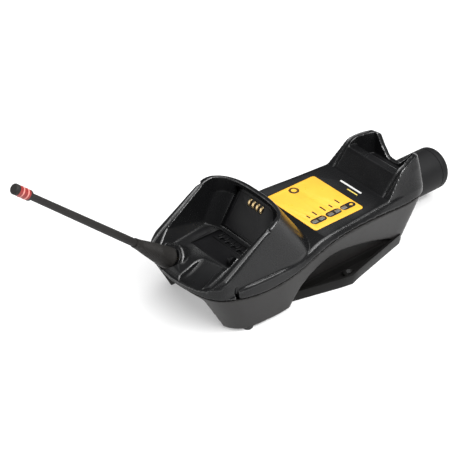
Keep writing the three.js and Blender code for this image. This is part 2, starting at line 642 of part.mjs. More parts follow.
function labelOverlay() {
  const plate = prismZ(labelShape(0), DECK_Z - 0.3 + 0.02, DECK_Z + LABEL.thick - 0.3);
  const hole = cylinderZ(BUTTON.x, BUTTON.y, 40, 60, BUTTON.r + 0.3);
  return cut(plate, hole, ...WINDOW_XS.map((x) => windowBlock(x, 0.15, 40, 60)));
}

function pageButton() {
  const head = cylinderZ(BUTTON.x, BUTTON.y, 44.2, DECK_Z + 0.25, BUTTON.r);
  const collar = cylinderZ(BUTTON.x, BUTTON.y, 43.2, 44.4, BUTTON.r + 1.4);
  const stem = cylinderZ(BUTTON.x, BUTTON.y, BOARD.top + 2.6, 43.4, 1.4, 12);
  return join(head, collar, stem);
}

const indicatorWindow = (x) => windowBlock(x, 0, DECK_Z - 2.2, DECK_Z + 0.1);

// ---------- electronics ----------

function mainBoard() {
  const plate = box(BOARD.x0, BOARD.x1, -BOARD.half, BOARD.half, BOARD.z, BOARD.top);
  const chips = [
    box(4, 16, -8, 4, BOARD.top - 0.1, BOARD.top + 1.4),
    box(50, 58, 2, 10, BOARD.top - 0.1, BOARD.top + 1.2),
    box(22, 30, 4, 9, BOARD.top - 0.1, BOARD.top + 1),
  ];
  return join(plate, ...chips);
}

const radioModule = () => box(-6, 2, -20, 6, BOARD.top + 0.02, BOARD.top + 2.4);

function buttonSwitch() {
  const body = box(BUTTON.x - 3, BUTTON.x + 3, BUTTON.y - 3, BUTTON.y + 3, BOARD.top + 0.02, BOARD.top + 1.5);
  return body.add(cylinderZ(BUTTON.x, BUTTON.y, BOARD.top + 1.4, BOARD.top + 2, 1.4, 12));
}

const statusLed = (x) => box(
  x - 0.8,
  x + 0.8,
  WINDOW_Y - 0.6,
  WINDOW_Y + 0.6,
  BOARD.top + 0.02,
  BOARD.top + 0.8,
);

function lightGuide() {
  const top = DECK_Z - 2.2 - GAP;
  const finger = (x) => box(x - 2, x + 2, WINDOW_Y - 1.2, WINDOW_Y + 1.2, BOARD.top + 1.2, top);
  const fingers = WINDOW_XS.map(finger);
  const [first, last] = [WINDOW_XS[0] - 2, WINDOW_XS.at(-1) + 2];
  const beam = box(first, last, WINDOW_Y - 0.8, WINDOW_Y + 0.8, BOARD.top + 3, BOARD.top + 4.4);
  return join(beam, ...fingers);
}

const buzzer = () => cylinderZ(54, 20, BOARD.top + 0.02, BOARD.top + 4.2, 5.5);

function hostSocket() {
  const y0 = CHANNEL_HALF - WALL - 12;
  const y1 = CHANNEL_HALF - 0.6;
  const body = box(SOCKETS.hostX - 6.9, SOCKETS.hostX + 6.9, y0, y1, SOCKETS.z - 5.9, SOCKETS.z + 5.9);
  const mouth = box(SOCKETS.hostX - 5.4, SOCKETS.hostX + 5.4, y0 + 3, y1 + 3, SOCKETS.z - 4.2, SOCKETS.z + 3);
  const latch = box(SOCKETS.hostX - 2, SOCKETS.hostX + 2, y0 + 3, y1 + 3, SOCKETS.z + 2.9, SOCKETS.z + 4.6);
  return cut(body, mouth, latch);
}

function powerSocket() {
  const y0 = CHANNEL_HALF - WALL - 11;
  const y1 = CHANNEL_HALF - 0.6;
  const body = cylinderY(SOCKETS.powerX, y0, y1, SOCKETS.z, 4.7);
  const mouth = cylinderY(SOCKETS.powerX, y0 + 2, y1 + 3, SOCKETS.z, 3.3);
  return join(cut(body, mouth), cylinderY(SOCKETS.powerX, y0 + 1.9, y1 - 1.5, SOCKETS.z, 0.9, 12));
}

// ---------- antenna ----------

const antennaSeat = () => turned([
  [9.2, -2.2], [11, -2.2], [11, -0.4], [10.4, 0.3], [9.6, 0.3], [9.2, -0.2], [9.2, -2.2],
]);

const antennaJack = () => turned([
  [0, -10], [3.2, -10], [3.2, -6.2], [4.6, -6.2], [4.6, -3.8], [3.6, -3.8], [3.6, 7], [0, 7],
]);

// The flared rubber foot, with a socket for the threaded jack.
function antennaBoot() {
  const outer = [
    [0, 0.6], [8.2, 0.6], [8.5, 2], [8.1, 5], [7.6, 10], [7.2, 16], [6.8, 22], [6.3, 27], [5.6, 31],
    [4.8, 35], [4.2, 39], [3.9, 43], [0, 43],
  ];
  const jackWell = turned([[0, -2], [3.95, -2], [3.95, 8], [0, 8]]);
  const whipWell = turned([[0, 30], [3.5, 30], [3.5, 50], [0, 50]]);
  return cut(turned(outer), jackWell, whipWell);
}

const antennaWhip = () => turned([
  [0, WHIP.start], [WHIP.rBase, WHIP.start], [WHIP.rBase, 60], [WHIP.rTip, WHIP.end], [0, WHIP.end],
], 16);

const tipBand = (s) => turned([[3.3, s], [4.15, s], [4.15, s + 1.1], [3.3, s + 1.1], [3.3, s]], 24);

function antennaTipCap() {
  const cap = turned([
    [0, 157.5], [3.1, 157.5], [4, 158.6], [4, ANTENNA.length - 1.2], [3.2, ANTENNA.length],
    [0, ANTENNA.length],
  ], 24);
  const socket = turned([[0, 150], [2.9, 150], [2.9, 158.4], [0, 158.4]], 20);
  const groove = (low, high) => turned([[3, low], [5, low], [5, high], [3, high], [3, low]], 24);
  const grooves = BAND_SPOTS.map((s) => groove(s - GAP, s + 1.1 + GAP));
  return cut(cap, socket, ...grooves);
}

// Lead from the jack along the hood's floor to the radio module.
function antennaCoax() {
  const start = new THREE.Vector3(0, 0, -10.5).applyMatrix4(antennaFrame);
  const path = new THREE.CatmullRomCurve3([
    start,
    new THREE.Vector3(-80, 18, 31),
    new THREE.Vector3(-62, 8, 27),
    new THREE.Vector3(-38, -6, 30),
    new THREE.Vector3(-20, -10, 35),
    new THREE.Vector3(-9.5, -10, 40.2),
  ]);
  const ring = new THREE.Shape();
  ring.absarc(0, 0, 0.9, 0, Math.PI * 2, false);
  const options = { steps: 18, bevelEnabled: false, extrudePath: path, curveSegments: 5 };
  return toSolid(new THREE.ExtrudeGeometry(ring, options));
}

// ---------- spare battery ----------

const roundX = (points, sides = 36) => {
  const geometry = new THREE.LatheGeometry(points.map(([r, x]) => new THREE.Vector2(r, x)), sides);
  geometry.rotateZ(-Math.PI / 2);
  geometry.translate(0, 0, BATTERY.z);
  return toSolid(geometry);
};

const batterySleeve = () => roundX([
  [SLEEVE.inner, SLEEVE.x1], [SLEEVE.inner, SLEEVE.x0 + 2], [4, SLEEVE.x0 + 2], [4, SLEEVE.x0],
  [SLEEVE.outer, SLEEVE.x0], [SLEEVE.outer, SLEEVE.x1], [SLEEVE.inner, SLEEVE.x1],
]);

function batteryCase() {
  const { r, z, inner, seam } = BATTERY;
  const body = roundX([[0, inner], [r - 1.5, inner], [r, inner + 1.5], [r, seam], [0, seam]]);
  return cut(body, box(inner - 1, inner + 1.7, -9.8, 9.8, z - 11.3, z - 4.7));
}

function batteryCap() {
  const { r, seam, outer } = BATTERY;
  const dome = [0, 1, 2, 3, 4].map((step) => {
    const angle = Math.PI / 2 * (step / 4);
    return [r - 6 + 6 * Math.cos(angle), outer - 6 + 6 * Math.sin(angle)];
  });
  return roundX([[0, seam + GAP], [r, seam + GAP], ...dome, [0, outer]]);
}

// Four pads on a common strip, in a recess in the battery's inner end.
function batteryTerminals() {
  const strip = box(BATTERY.inner + 0.6, BATTERY.inner + 1.4, -9.5, 9.5, BATTERY.z - 11, BATTERY.z - 5);
  const pads = TERMINAL_YS.map((y) => (
    box(BATTERY.inner + 0.2, BATTERY.inner + 0.7, y - 1.4, y + 1.4, BATTERY.z - 10, BATTERY.z - 6)
  ));
  return join(strip, ...pads);
}

// Contact strip on the sleeve's end wall, with four blades that meet the battery's pads.
function slotContacts() {
  const wallX = SLEEVE.x0 + 2;
  const strip = box(wallX + 0.3, wallX + 1.4, -9.5, 9.5, BATTERY.z - 12, BATTERY.z - 4);
  const blades = TERMINAL_YS.map((y) => (
    box(wallX + 1.3, BATTERY.inner - 0.2, y - 0.9, y + 0.9, BATTERY.z - 9, BATTERY.z - 7)
  ));
  return join(strip, ...blades);
}

// ---------- assembly ----------

const COLOURS = {
  topShell: [0x17181a, 0.32],
  bottomShell: [0x26272a, 0.5],
  insert: [0x101113, 0.55],
  rubber: [0x2b2826, 0.85],
  battery: [0x262626, 0.9],
  gold: [0xd9a441, 0.25, 1],
  steel: [0x9a9da1, 0.35, 1],
  label: [0xf5d31c, 0.4],
  button: [0xf2cf20, 0.4],
  window: [0xa8a6a0, 0.3],
  red: [0x9b1b14, 0.5],
  redPale: [0xb5574e, 0.5],
  board: [0x1d5a34, 0.6],
  can: [0xb4b6b8, 0.35, 1],
  clear: [0xdedede, 0.2],
  white: [0xe6e6e0, 0.5],
};

const materials = {};
for (const [name, [color, roughness, metalness = 0]] of Object.entries(COLOURS)) {
  materials[name] = new THREE.MeshStandardMaterial({ color, roughness, metalness });
}

const group = new THREE.Group();

function add(name, solid, material) {
  const mesh = new THREE.Mesh(toGeometry(solid), materials[material]);
  mesh.name = name;
  group.add(mesh);
}

add('top_housing', topHousing(), 'topShell');
add('bottom_housing', bottomHousing(), 'bottomShell');
add('mounting_bracket', mountingBracket(), 'bottomShell');
add('cup_floor_insert', cupFloorInsert(), 'insert');
add('cup_clip', cupClip(), 'insert');
add('contact_panel', contactPanel(), 'insert');
add('contact_carrier', contactCarrier(), 'white');
contactYs.forEach((y, i) => add(`charge_contact_${i + 1}`, chargeContact(y), 'gold'));
add('label_overlay', labelOverlay(), 'label');
add('page_button', pageButton(), 'button');
WINDOW_XS.forEach((x, i) => add(`indicator_window_${i + 1}`, indicatorWindow(x), 'window'));

add('main_board', mainBoard(), 'board');
add('radio_module', radioModule(), 'can');
add('button_switch', buttonSwitch(), 'insert');
WINDOW_XS.forEach((x, i) => add(`status_led_${i + 1}`, statusLed(x), 'white'));
add('light_guide', lightGuide(), 'clear');
add('buzzer', buzzer(), 'insert');
add('host_socket', hostSocket(), 'insert');
add('power_socket', powerSocket(), 'insert');

add('antenna_seat', antennaSeat(), 'insert');
add('antenna_jack', antennaJack(), 'gold');
add('antenna_boot', antennaBoot(), 'rubber');
add('antenna_whip', antennaWhip(), 'rubber');
add('antenna_tip_cap', antennaTipCap(), 'red');
BAND_SPOTS.forEach((s, i) => add(`antenna_band_${i + 1}`, tipBand(s), 'redPale'));
add('antenna_coax', antennaCoax(), 'insert');

add('battery_sleeve', batterySleeve(), 'bottomShell');
add('battery_slot_contacts', slotContacts(), 'gold');
add('spare_battery_case', batteryCase(), 'battery');
add('spare_battery_end_cap', batteryCap(), 'battery');
add('spare_battery_terminals', batteryTerminals(), 'gold');

add('front_foot_left', cylinderZ(FOOT.x, FOOT.y, 0, FOOT.height, FOOT.r), 'rubber');
add('front_foot_right', cylinderZ(FOOT.x, -FOOT.y, 0, FOOT.height, FOOT.r), 'rubber');
SCREW_SPOTS.forEach(([x, y], i) => add(`housing_screw_${i + 1}`, housingScrew(x, y), 'steel'));
BRACKET_SCREW_XS.forEach((x, i) => add(`bracket_screw_${i + 1}`, bracketScrew(x), 'steel'));

export default group;
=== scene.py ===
"""A desk base station and charging cradle: its fine surface, materials, light and camera.

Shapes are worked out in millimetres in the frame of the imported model, and stored in metres.
"""
import math

import bmesh
import bpy
import numpy as np
from mathutils import Matrix, Vector


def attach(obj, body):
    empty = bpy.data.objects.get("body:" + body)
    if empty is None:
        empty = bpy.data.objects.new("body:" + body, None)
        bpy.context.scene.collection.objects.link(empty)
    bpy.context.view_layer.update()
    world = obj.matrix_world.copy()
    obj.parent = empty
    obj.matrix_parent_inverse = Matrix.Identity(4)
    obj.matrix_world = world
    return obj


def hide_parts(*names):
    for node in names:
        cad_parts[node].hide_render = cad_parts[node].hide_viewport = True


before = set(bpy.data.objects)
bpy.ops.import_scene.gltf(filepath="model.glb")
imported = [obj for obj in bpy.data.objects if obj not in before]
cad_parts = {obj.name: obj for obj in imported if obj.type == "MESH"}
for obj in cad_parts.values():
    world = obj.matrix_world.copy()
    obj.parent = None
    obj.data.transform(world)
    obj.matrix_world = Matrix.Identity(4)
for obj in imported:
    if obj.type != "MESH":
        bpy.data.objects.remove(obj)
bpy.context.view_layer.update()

MM = 0.001
MERGE = 1e-4

# ---------- driving dimensions, in millimetres ----------

# GAP is the play around a fitted piece. SEAM is half of the gap between the shells.
GAP = 0.3
SEAM = 0.5
WALL = 2.4
# The shells' surface: the size of a face, the passes that round it, and the share of faces kept.
VOXEL, ROUNDING, KEPT = 0.6, 9, 0.3
# Cutters and blanks reach past the body: across it, and up through the deck.
ACROSS = (-60, 60)
THROUGH_DECK = (40, 60)
DECK_Z = 47.8
BODY_BASE_Z = 20
SHELL_FLOOR_Z = 3
FAR_END_X = 131.5

# Half width of the body at the parting line, and of the lower shell's underside: (x, half width).
BODY_HALF = [
    (-107.5, 0), (-107, 9), (-105.6, 19), (-103.2, 29), (-100, 36.5), (-96, 41.5), (-90.5, 45),
    (-83, 47.2), (-72, 48.8), (-58, 49.5), (-40, 49.2), (-20, 48.2), (0, 46.8), (25, 44.8),
    (50, 43), (75, 41.4), (100, 39.9), (114, 39.1), (122.5, 37.9), (127.8, 35), (130.6, 29),
    (FAR_END_X, 18), (FAR_END_X, 0),
]
BASE_HALF = [
    (-86.5, 0), (-86.2, 9), (-85.4, 19), (-84, 28), (-81.5, 35.5), (-77.5, 41.5), (-71, 46),
    (-62, 47.8), (-48, 48.6), (-31, 48.4), (-15, 46), (0, 44), (20, 42.2), (40, 40.6), (60, 39),
    (80, 38), (96, 37), (104, 35.8), (109, 33.4), (111.8, 28.5), (112.8, 21), (113, 10), (113, 0),
]
PARTING = [
    (-112, 39.5), (-97, 38), (-80, 35), (-60, 31.8), (-41, 30.8), (-18, 33), (1, 38.2), (17, 41.6),
    (30, 43), (55, 42.6), (80, 40.8), (105, 38.4), (132, 40),
]
FLANGE_TOP = [
    (-112, 43.4), (-97, 43.6), (-80, 43), (-60, 42.4), (-38, 41.4), (-20, 40.6), (-8, 42.4),
    (4, 46.4), (14, DECK_Z), (60, DECK_Z), (100, DECK_Z), (132, DECK_Z),
]
# How far the side leans in above the parting line: (x, lean). The flange starts as a step at NOTCH_X.
NOTCH_X = -78
FLANGE_LEAN = [(-112, 3.6), (NOTCH_X - 0.4, 3.6), (NOTCH_X, 0.9), (-30, 0.9), (0, 2.5), (132, 2.5)]
# Beads on the hood walls: their radii are shares of the wall's width. The groove's radius is in millimetres.
RIM_BEADS = {"x0": -103.5, "x1": -45, "outer": 0.5, "inner": 0.26, "proud": 0.3, "groove": 1.3}

HOOD_TOP_Z = 84.2
HOOD_FOOT_DROP = 4
# In front, the hood's outline is this share of the body's half width.
HOOD_SHARE = 0.985
HOOD_RIM = [
    (-118, 38), (-106, 42.4), (-98, 47.4), (-73, 63.5), (-48, 79.6), (-42, 82.7), (-36, HOOD_TOP_Z),
    (-24, HOOD_TOP_Z),
]
HOOD_BASE = {"half": 45.6, "back": 8.5, "corner": 34, "power": 3}
HOOD_CREST = {"half": 43.2, "back": -20.2, "corner": 31, "power": 2.7}

CUP_FLOOR_Z = 45.6
CUP_FRONT_X = -113
CUP_HALF_FLOOR = 23
CUP_HALF_LEDGE = 35.8
CUP_HALF_TOP = 38.8
CUP_LEDGE = {"x": -37, "z": 46.6, "slope": 0.22}
# The side walls open out between these heights. The cup's plan leans more and more along this stretch of x.
CUP_SIDE_Z = (50, 84)
CUP_LEAN_X = (-84, -50)
CUP_PLAN = [
    (-120, 0), (-120, 25), (-119, 33), (-108, 36), (-84, 38), (-66, 38.8), (-42, 38.4),
    (-34.5, 36.4), (-29, 31.5), (-25.6, 23), (-24, 12), (-23.6, 0),
]
CUP_WALL_FOOT = (-39.2, CUP_FLOOR_Z)
CUP_WALL_ANGLE = math.radians(58.5)
SCOOP = {"centre": (-91.5, -15.5, 74.4), "r": 34, "half": 9.5, "end": 0.2, "turn": math.radians(14)}

# On the cup's back wall, low and high are measured up the wall from its foot.
CONTACT = {"pitch": 4.7, "width": 2.2, "low": 27, "high": 33, "proud": 0.9, "slack": 0.35}
PANEL = {"half": 23, "low": 2, "high": 37, "thick": 2}
RECESS = {"x0": -70.5, "x1": -42, "half": 21.5}

LABEL = {"x0": 13.3, "x1": 65.4, "half": 30.3, "top": 47.9, "corner": 2.5}
BUTTON = {"x": 37.8, "y": 23.8, "r": 3.6, "top": 48.05}
WINDOW_XS = (21.6, 28.8, 38.4, 45.8, 52.8)
WINDOW_Y = -20.5
WINDOW = {"length": 5.2, "width": 3.2}

HANDLE = {"front": 84, "wall_x": 101.5, "wall_z": 64, "half": 27.6, "back": 22, "pocket_z": 50.5}
POCKET_X = (110, 127)
HANDLE_TOP = [
    (85.6, DECK_Z - 2), (94, 55.6), (103, 66.2), (106, 68.6), (112, 70.2), (120, 71.2), (127, 71),
    (132.5, 68.4),
]
HORN_GROOVE = {"x0": 87, "x1": 124, "in": 2.3, "r": 1.35}
NOTCH = [(-21, 71.5), (-14.5, 62), (-7, 53.4), (-4, 52.4), (4, 52.4), (7, 53.4), (14.5, 62), (21, 71.5)]

ANTENNA = {"root": (-95, 18, 43.5), "tilt": math.radians(42.6), "length": 174}
SEAT_BOSS_R = 12.4
SEAT_WELL = {"r": 11.4, "depth": 2.6, "cable_r": 4.9}
ROD = {"start": 30.3, "end": 158, "r": 3.2, "taper_from": 60, "taper": 0.65}
TIP = {"collar": 157.5, "start": 160.2, "end": 170.4, "r": 3.95}
BAND_SPOTS = (162, 166.5)
BAND_WIDTH = 1.1
BATTERY = {"z": 26.5, "r": 18.8, "inner": 90, "seam": 171.5, "outer": 181.2}
SLEEVE = {"outer": 20.4, "x0": 84}

CHANNEL_HALF = 35.6
ARCH = [
    (-29.5, -1), (-26, 4), (-22, 9), (-14, 16.6), (-3, 23.4), (8, 27.4), (19, 29.2), (31, 28.4),
    (52, 23.4), (75, 15.8), (88, 10.6), (97, 5), (99, -1),
]
SCREW_SPOTS = ((-52, 38.5), (-52, -38.5), (92, 29), (92, -29))
SCREW = {"post_r": 4, "post_z": 3.2, "hole_r": 1.9, "head_r": 3.3, "head_z": 6.2}
FOOT = {"x": -66.5, "y": 43, "z": 3.2, "r": 4.5}
SOCKETS = {"host_x": 8, "host_half": 7.2, "host_rise": 6.2, "power_x": 26, "power_r": 5, "z": 15}

# The photo's camera: its place and direction in metres, and its lens for a sensor 36 mm wide.
CAMERA = {"at": (-0.60803, -0.68734, 0.68259), "towards": (0.51544, 0.63658, -0.57366), "lens": 110.85}

# ---------- curves ----------


def smooth_curve(points, per_span=14):
    """Points along a centripetal Catmull-Rom curve through the given ones."""
    given = np.array(points, float)
    p = np.vstack([2 * given[0] - given[1], given, 2 * given[-1] - given[-2]])
    out = []
    for a, b, c, d in zip(p, p[1:], p[2:], p[3:], strict=False):
        steps = [max(np.linalg.norm(w - v), 1e-6) ** 0.5 for v, w in ((a, b), (b, c), (c, d))]
        t0, t1, t2, t3 = 0, steps[0], steps[0] + steps[1], sum(steps)
        t = np.linspace(t1, t2, per_span, endpoint=False)[:, None]
        ab = (t1 - t) / (t1 - t0) * a + (t - t0) / (t1 - t0) * b
        bc = (t2 - t) / (t2 - t1) * b + (t - t1) / (t2 - t1) * c
        cd = (t3 - t) / (t3 - t2) * c + (t - t2) / (t3 - t2) * d
        abc = (t2 - t) / (t2 - t0) * ab + (t - t0) / (t2 - t0) * bc
        bcd = (t3 - t) / (t3 - t1) * bc + (t - t1) / (t3 - t1) * cd
        out.append((t2 - t) / (t2 - t1) * abc + (t - t1) / (t2 - t1) * bcd)
    return np.vstack([*out, given[-1:]])


def evenly(line, count):
    """count points at equal steps along a line of points."""
    gaps = np.linalg.norm(np.diff(line, axis=0), axis=1)
    at = np.concatenate([[0], np.cumsum(gaps)])
    stops = np.linspace(0, at[-1], count)
    return np.column_stack([np.interp(stops, at, line[:, k]) for k in range(line.shape[1])])


def height_line(points):
    """A smooth height that is read at x."""
    line = smooth_curve(points)
    return lambda x: np.interp(x, line[:, 0], line[:, 1])


parting_z = height_line(PARTING)
flange_z = height_line(FLANGE_TOP)


def plan_ring(half, z, inset=0.0, count=150):
    """A closed ring from a half outline on the +Y side. z and inset are numbers, or are read at x."""
    side = evenly(smooth_curve(half), count + 1)
    ring = np.vstack([side * (1, -1), side[1:-1][::-1]])
    along = np.roll(ring, -1, 0) - np.roll(ring, 1, 0)
    along /= np.linalg.norm(along, axis=1, keepdims=True)
    shift = inset(ring[:, :1]) if callable(inset) else inset
    ring = ring + shift * np.column_stack([-along[:, 1], along[:, 0]])
    heights = z(ring[:, 0]) if callable(z) else np.full(len(ring), float(z))
    return np.column_stack([ring, heights])


def hood_half(shape):
    """The hood's half outline: the body's nose, straight sides and a rounded back."""
    half, back, corner, power = shape["half"], shape["back"], shape["corner"], shape["power"]
    points = [(x, min(y * HOOD_SHARE, half)) for x, y in BODY_HALF if x < -88]
    points += [(-75, half), (back - corner - 8, half)]
    for angle in np.linspace(0, math.pi / 2, 13):
        x = back - corner + corner * math.sin(angle) ** (2 / power)
        points.append((x, half * max(math.cos(angle), 0) ** (2 / power)))
    return points


# ---------- meshes ----------


def make(name, verts, faces, turned=False):
    """A new object from points in millimetres, with its faces turned outwards."""
    mesh = bpy.data.meshes.new(name)
    mesh.from_pydata([tuple(map(float, v)) for v in verts], [], faces)
    bm = bmesh.new()
    bm.from_mesh(mesh)
    bmesh.ops.remove_doubles(bm, verts=bm.verts, dist=MERGE)
    if turned:
        bmesh.ops.dissolve_degenerate(bm, edges=bm.edges, dist=MERGE)
    bmesh.ops.recalc_face_normals(bm, faces=bm.faces)
    bm.to_mesh(mesh)
    bm.free()
    obj = bpy.data.objects.new(name, mesh)
    bpy.context.scene.collection.objects.link(obj)
    return obj


def loft(rings, strips=False):
    """A closed body through rings. With strips, its ends are ruled across Y between mirrored points."""
    count = len(rings[0])
    faces = []
    for r in range(len(rings) - 1):
        for i in range(count):
            j = (i + 1) % count
            faces.append((r * count + i, r * count + j, (r + 1) * count + j, (r + 1) * count + i))
    for base in (0, (len(rings) - 1) * count):
        if not strips:
            faces.append(tuple(base + i for i in range(count)))
            continue
        for i in range(count // 2):
            corners = [i, i + 1, (count - i - 1) % count, (count - i) % count]
            faces.append(tuple(base + c for c in dict.fromkeys(corners)))
    return make("loft", np.vstack(rings), faces)


def prism_y(profile, y0, y1):
    """A side profile of (x, z) points, spread from y0 to y1."""
    return loft([[(x, y, z) for x, z in profile] for y in (y0, y1)])


def prism_z(outline, z0, z1):
    """A plan outline of (x, y) points, raised from z0 to z1."""
    return loft([[(x, y, z) for x, y in outline] for z in (z0, z1)])


def block(x0, x1, y0, y1, z0, z1):
    return prism_z([(x0, y0), (x1, y0), (x1, y1), (x0, y1)], z0, z1)


def circle(x, y, r, sides=48):
    turns = np.linspace(0, 2 * math.pi, sides, False)
    return [(x + r * math.cos(a), y + r * math.sin(a)) for a in turns]


def post(x, y, z0, z1, r):
    return prism_z(circle(x, y, r), z0, z1)


def lathe(profile, axis, steps=72):
    """A turned body from (radius, distance) points that start and end on the axis, or close on themselves."""
    points = [(max(r, 0), s) for r, s in profile]
    verts, faces = [], []
    for k in range(steps):
        a = 2 * math.pi * k / steps
        verts += [axis @ Vector((r * math.cos(a), r * math.sin(a), s)) for r, s in points]
    n = len(points)
    for k in range(steps):
        m = (k + 1) % steps
        for i in range(n - 1):
            faces.append((k * n + i, k * n + i + 1, m * n + i + 1, m * n + i))
    return make("lathe", verts, faces, turned=True)


def bake(obj):
    """Applies every modifier of obj to its mesh."""
    bpy.context.view_layer.update()
    graph = bpy.context.evaluated_depsgraph_get()
    mesh = bpy.data.meshes.new_from_object(obj.evaluated_get(graph))
    old = obj.data
    obj.modifiers.clear()
    obj.data = mesh
    bpy.data.meshes.remove(old)
    return obj


def combine(target, operation, tools):
    """Applies each tool to the target in turn and removes the tool."""
    for tool in tools:
        step = target.modifiers.new("step", "BOOLEAN")
        step.operation = operation
        step.solver = "MANIFOLD"
        step.object = tool
        bake(target)
        bpy.data.objects.remove(tool)
    return target


def cut(target, *tools):
    return combine(target, "DIFFERENCE", tools)


def join(target, *tools):
    return combine(target, "UNION", tools)


def common(target, *tools):
    return combine(target, "INTERSECT", tools)


def soften(obj):
    """Rebuilds the surface in small even faces and rounds its edges, then thins it out to the share kept."""
    remesh = obj.modifiers.new("remesh", "REMESH")
    remesh.mode = "VOXEL"
    remesh.voxel_size = VOXEL
    smooth = obj.modifiers.new("smooth", "SMOOTH")
    smooth.factor = 0.5
    smooth.iterations = ROUNDING
    thin = obj.modifiers.new("thin", "DECIMATE")
    thin.ratio = KEPT
    return bake(obj)


def bevel(obj, width, segments=3):
    """Merges flat neighbours, then rounds the edges."""
    bm = bmesh.new()
    bm.from_mesh(obj.data)
    bmesh.ops.dissolve_limit(bm, angle_limit=math.radians(0.6), verts=bm.verts, edges=bm.edges)
    bm.to_mesh(obj.data)
    bm.free()
    step = obj.modifiers.new("bevel", "BEVEL")
    step.width = width
    step.segments = segments
    step.limit_method = "ANGLE"
    step.angle_limit = math.radians(28)
    step.use_clamp_overlap = True
    return bake(obj)


# ---------- placing a finished piece ----------


def place(obj, name, body, material, nodes=(), scale=MM, crisp=32):
    """Names the piece, stores it in metres, hangs it on the body it rides on and hides the CAD nodes it
    stands for.
    """
    obj.name = name
    obj.data.name = name
    obj.data.transform(Matrix.Scale(scale, 4))
    obj.data.materials.clear()
    obj.data.materials.append(material)
    for face in obj.data.polygons:
        face.use_smooth = True
        face.material_index = 0
    obj.data.set_sharp_from_angle(angle=math.radians(crisp))
    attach(obj, body)
    if nodes:
        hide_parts(*nodes)
    return obj


def refined(node, name, material, width, segments):
    """A copy of a fixed CAD node with rounded edges, which stands for it. width is in millimetres."""
    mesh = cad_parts[node].data.copy()
    obj = bpy.data.objects.new(name, mesh)
    bpy.context.scene.collection.objects.link(obj)
    bm = bmesh.new()
    bm.from_mesh(mesh)
    bmesh.ops.remove_doubles(bm, verts=bm.verts, dist=1e-6)
    bm.to_mesh(mesh)
    bm.free()
    bevel(obj, width * MM, segments)
    return place(obj, name, "base", material, [node], scale=1)


# ---------- materials ----------


class Nodes:
    """Adds nodes to a material and links them."""

    def __init__(self, name):
        self.material = bpy.data.materials.new(name)
        self.material.use_nodes = True
        self.tree = self.material.node_tree
        self.shader = self.tree.nodes["Principled BSDF"]
        self.where = self.add("ShaderNodeTexCoord").outputs["Object"]

    def add(self, kind, **values):
        node = self.tree.nodes.new(kind)
        for key, value in values.items():
            if hasattr(node, key):
                setattr(node, key, value)
            else:
                node.inputs[key].default_value = value
        return node

    def link(self, out, into):
        self.tree.links.new(out, into)

    def noise(self, scale, detail=3.0, roughness=0.55, stretch=None):
        node = self.add("ShaderNodeTexNoise", Scale=scale, Detail=detail, Roughness=roughness)
        where = self.where
        if stretch:
            mapping = self.add("ShaderNodeMapping")
            mapping.inputs["Scale"].default_value = stretch
            self.link(where, mapping.inputs["Vector"])
            where = mapping.outputs["Vector"]
        self.link(where, node.inputs["Vector"])
        return node.outputs["Fac"]

    def spread(self, value, low, high, to_low, to_high):
        node = self.add("ShaderNodeMapRange")
        node.inputs["From Min"].default_value = low
        node.inputs["From Max"].default_value = high
        node.inputs["To Min"].default_value = to_low
        node.inputs["To Max"].default_value = to_high
        self.link(value, node.inputs["Value"])
        return node.outputs["Result"]

    def mix(self, fac, a, b):
        node = self.add("ShaderNodeMix", data_type="RGBA")
        self.link(fac, node.inputs[0])
        for socket, value in ((node.inputs[6], a), (node.inputs[7], b)):
            if isinstance(value, tuple):
                socket.default_value = (*value, 1)
            else:
                self.link(value, socket)
        return node.outputs[2]

    def maths(self, operation, a, b):
        node = self.add("ShaderNodeMath", operation=operation)
        for socket, value in ((node.inputs[0], a), (node.inputs[1], b)):
            if isinstance(value, (int, float)):
                socket.default_value = value
            else:
                self.link(value, socket)
        return node.outputs[0]

    def bump(self, height, distance, strength, under=None):
        node = self.add("ShaderNodeBump", Strength=strength, Distance=distance)
        self.link(height, node.inputs["Height"])
        if under:
            self.link(under, node.inputs["Normal"])
        return node.outputs["Normal"]


def shade(colour, factor):
    return tuple(c * factor for c in colour)


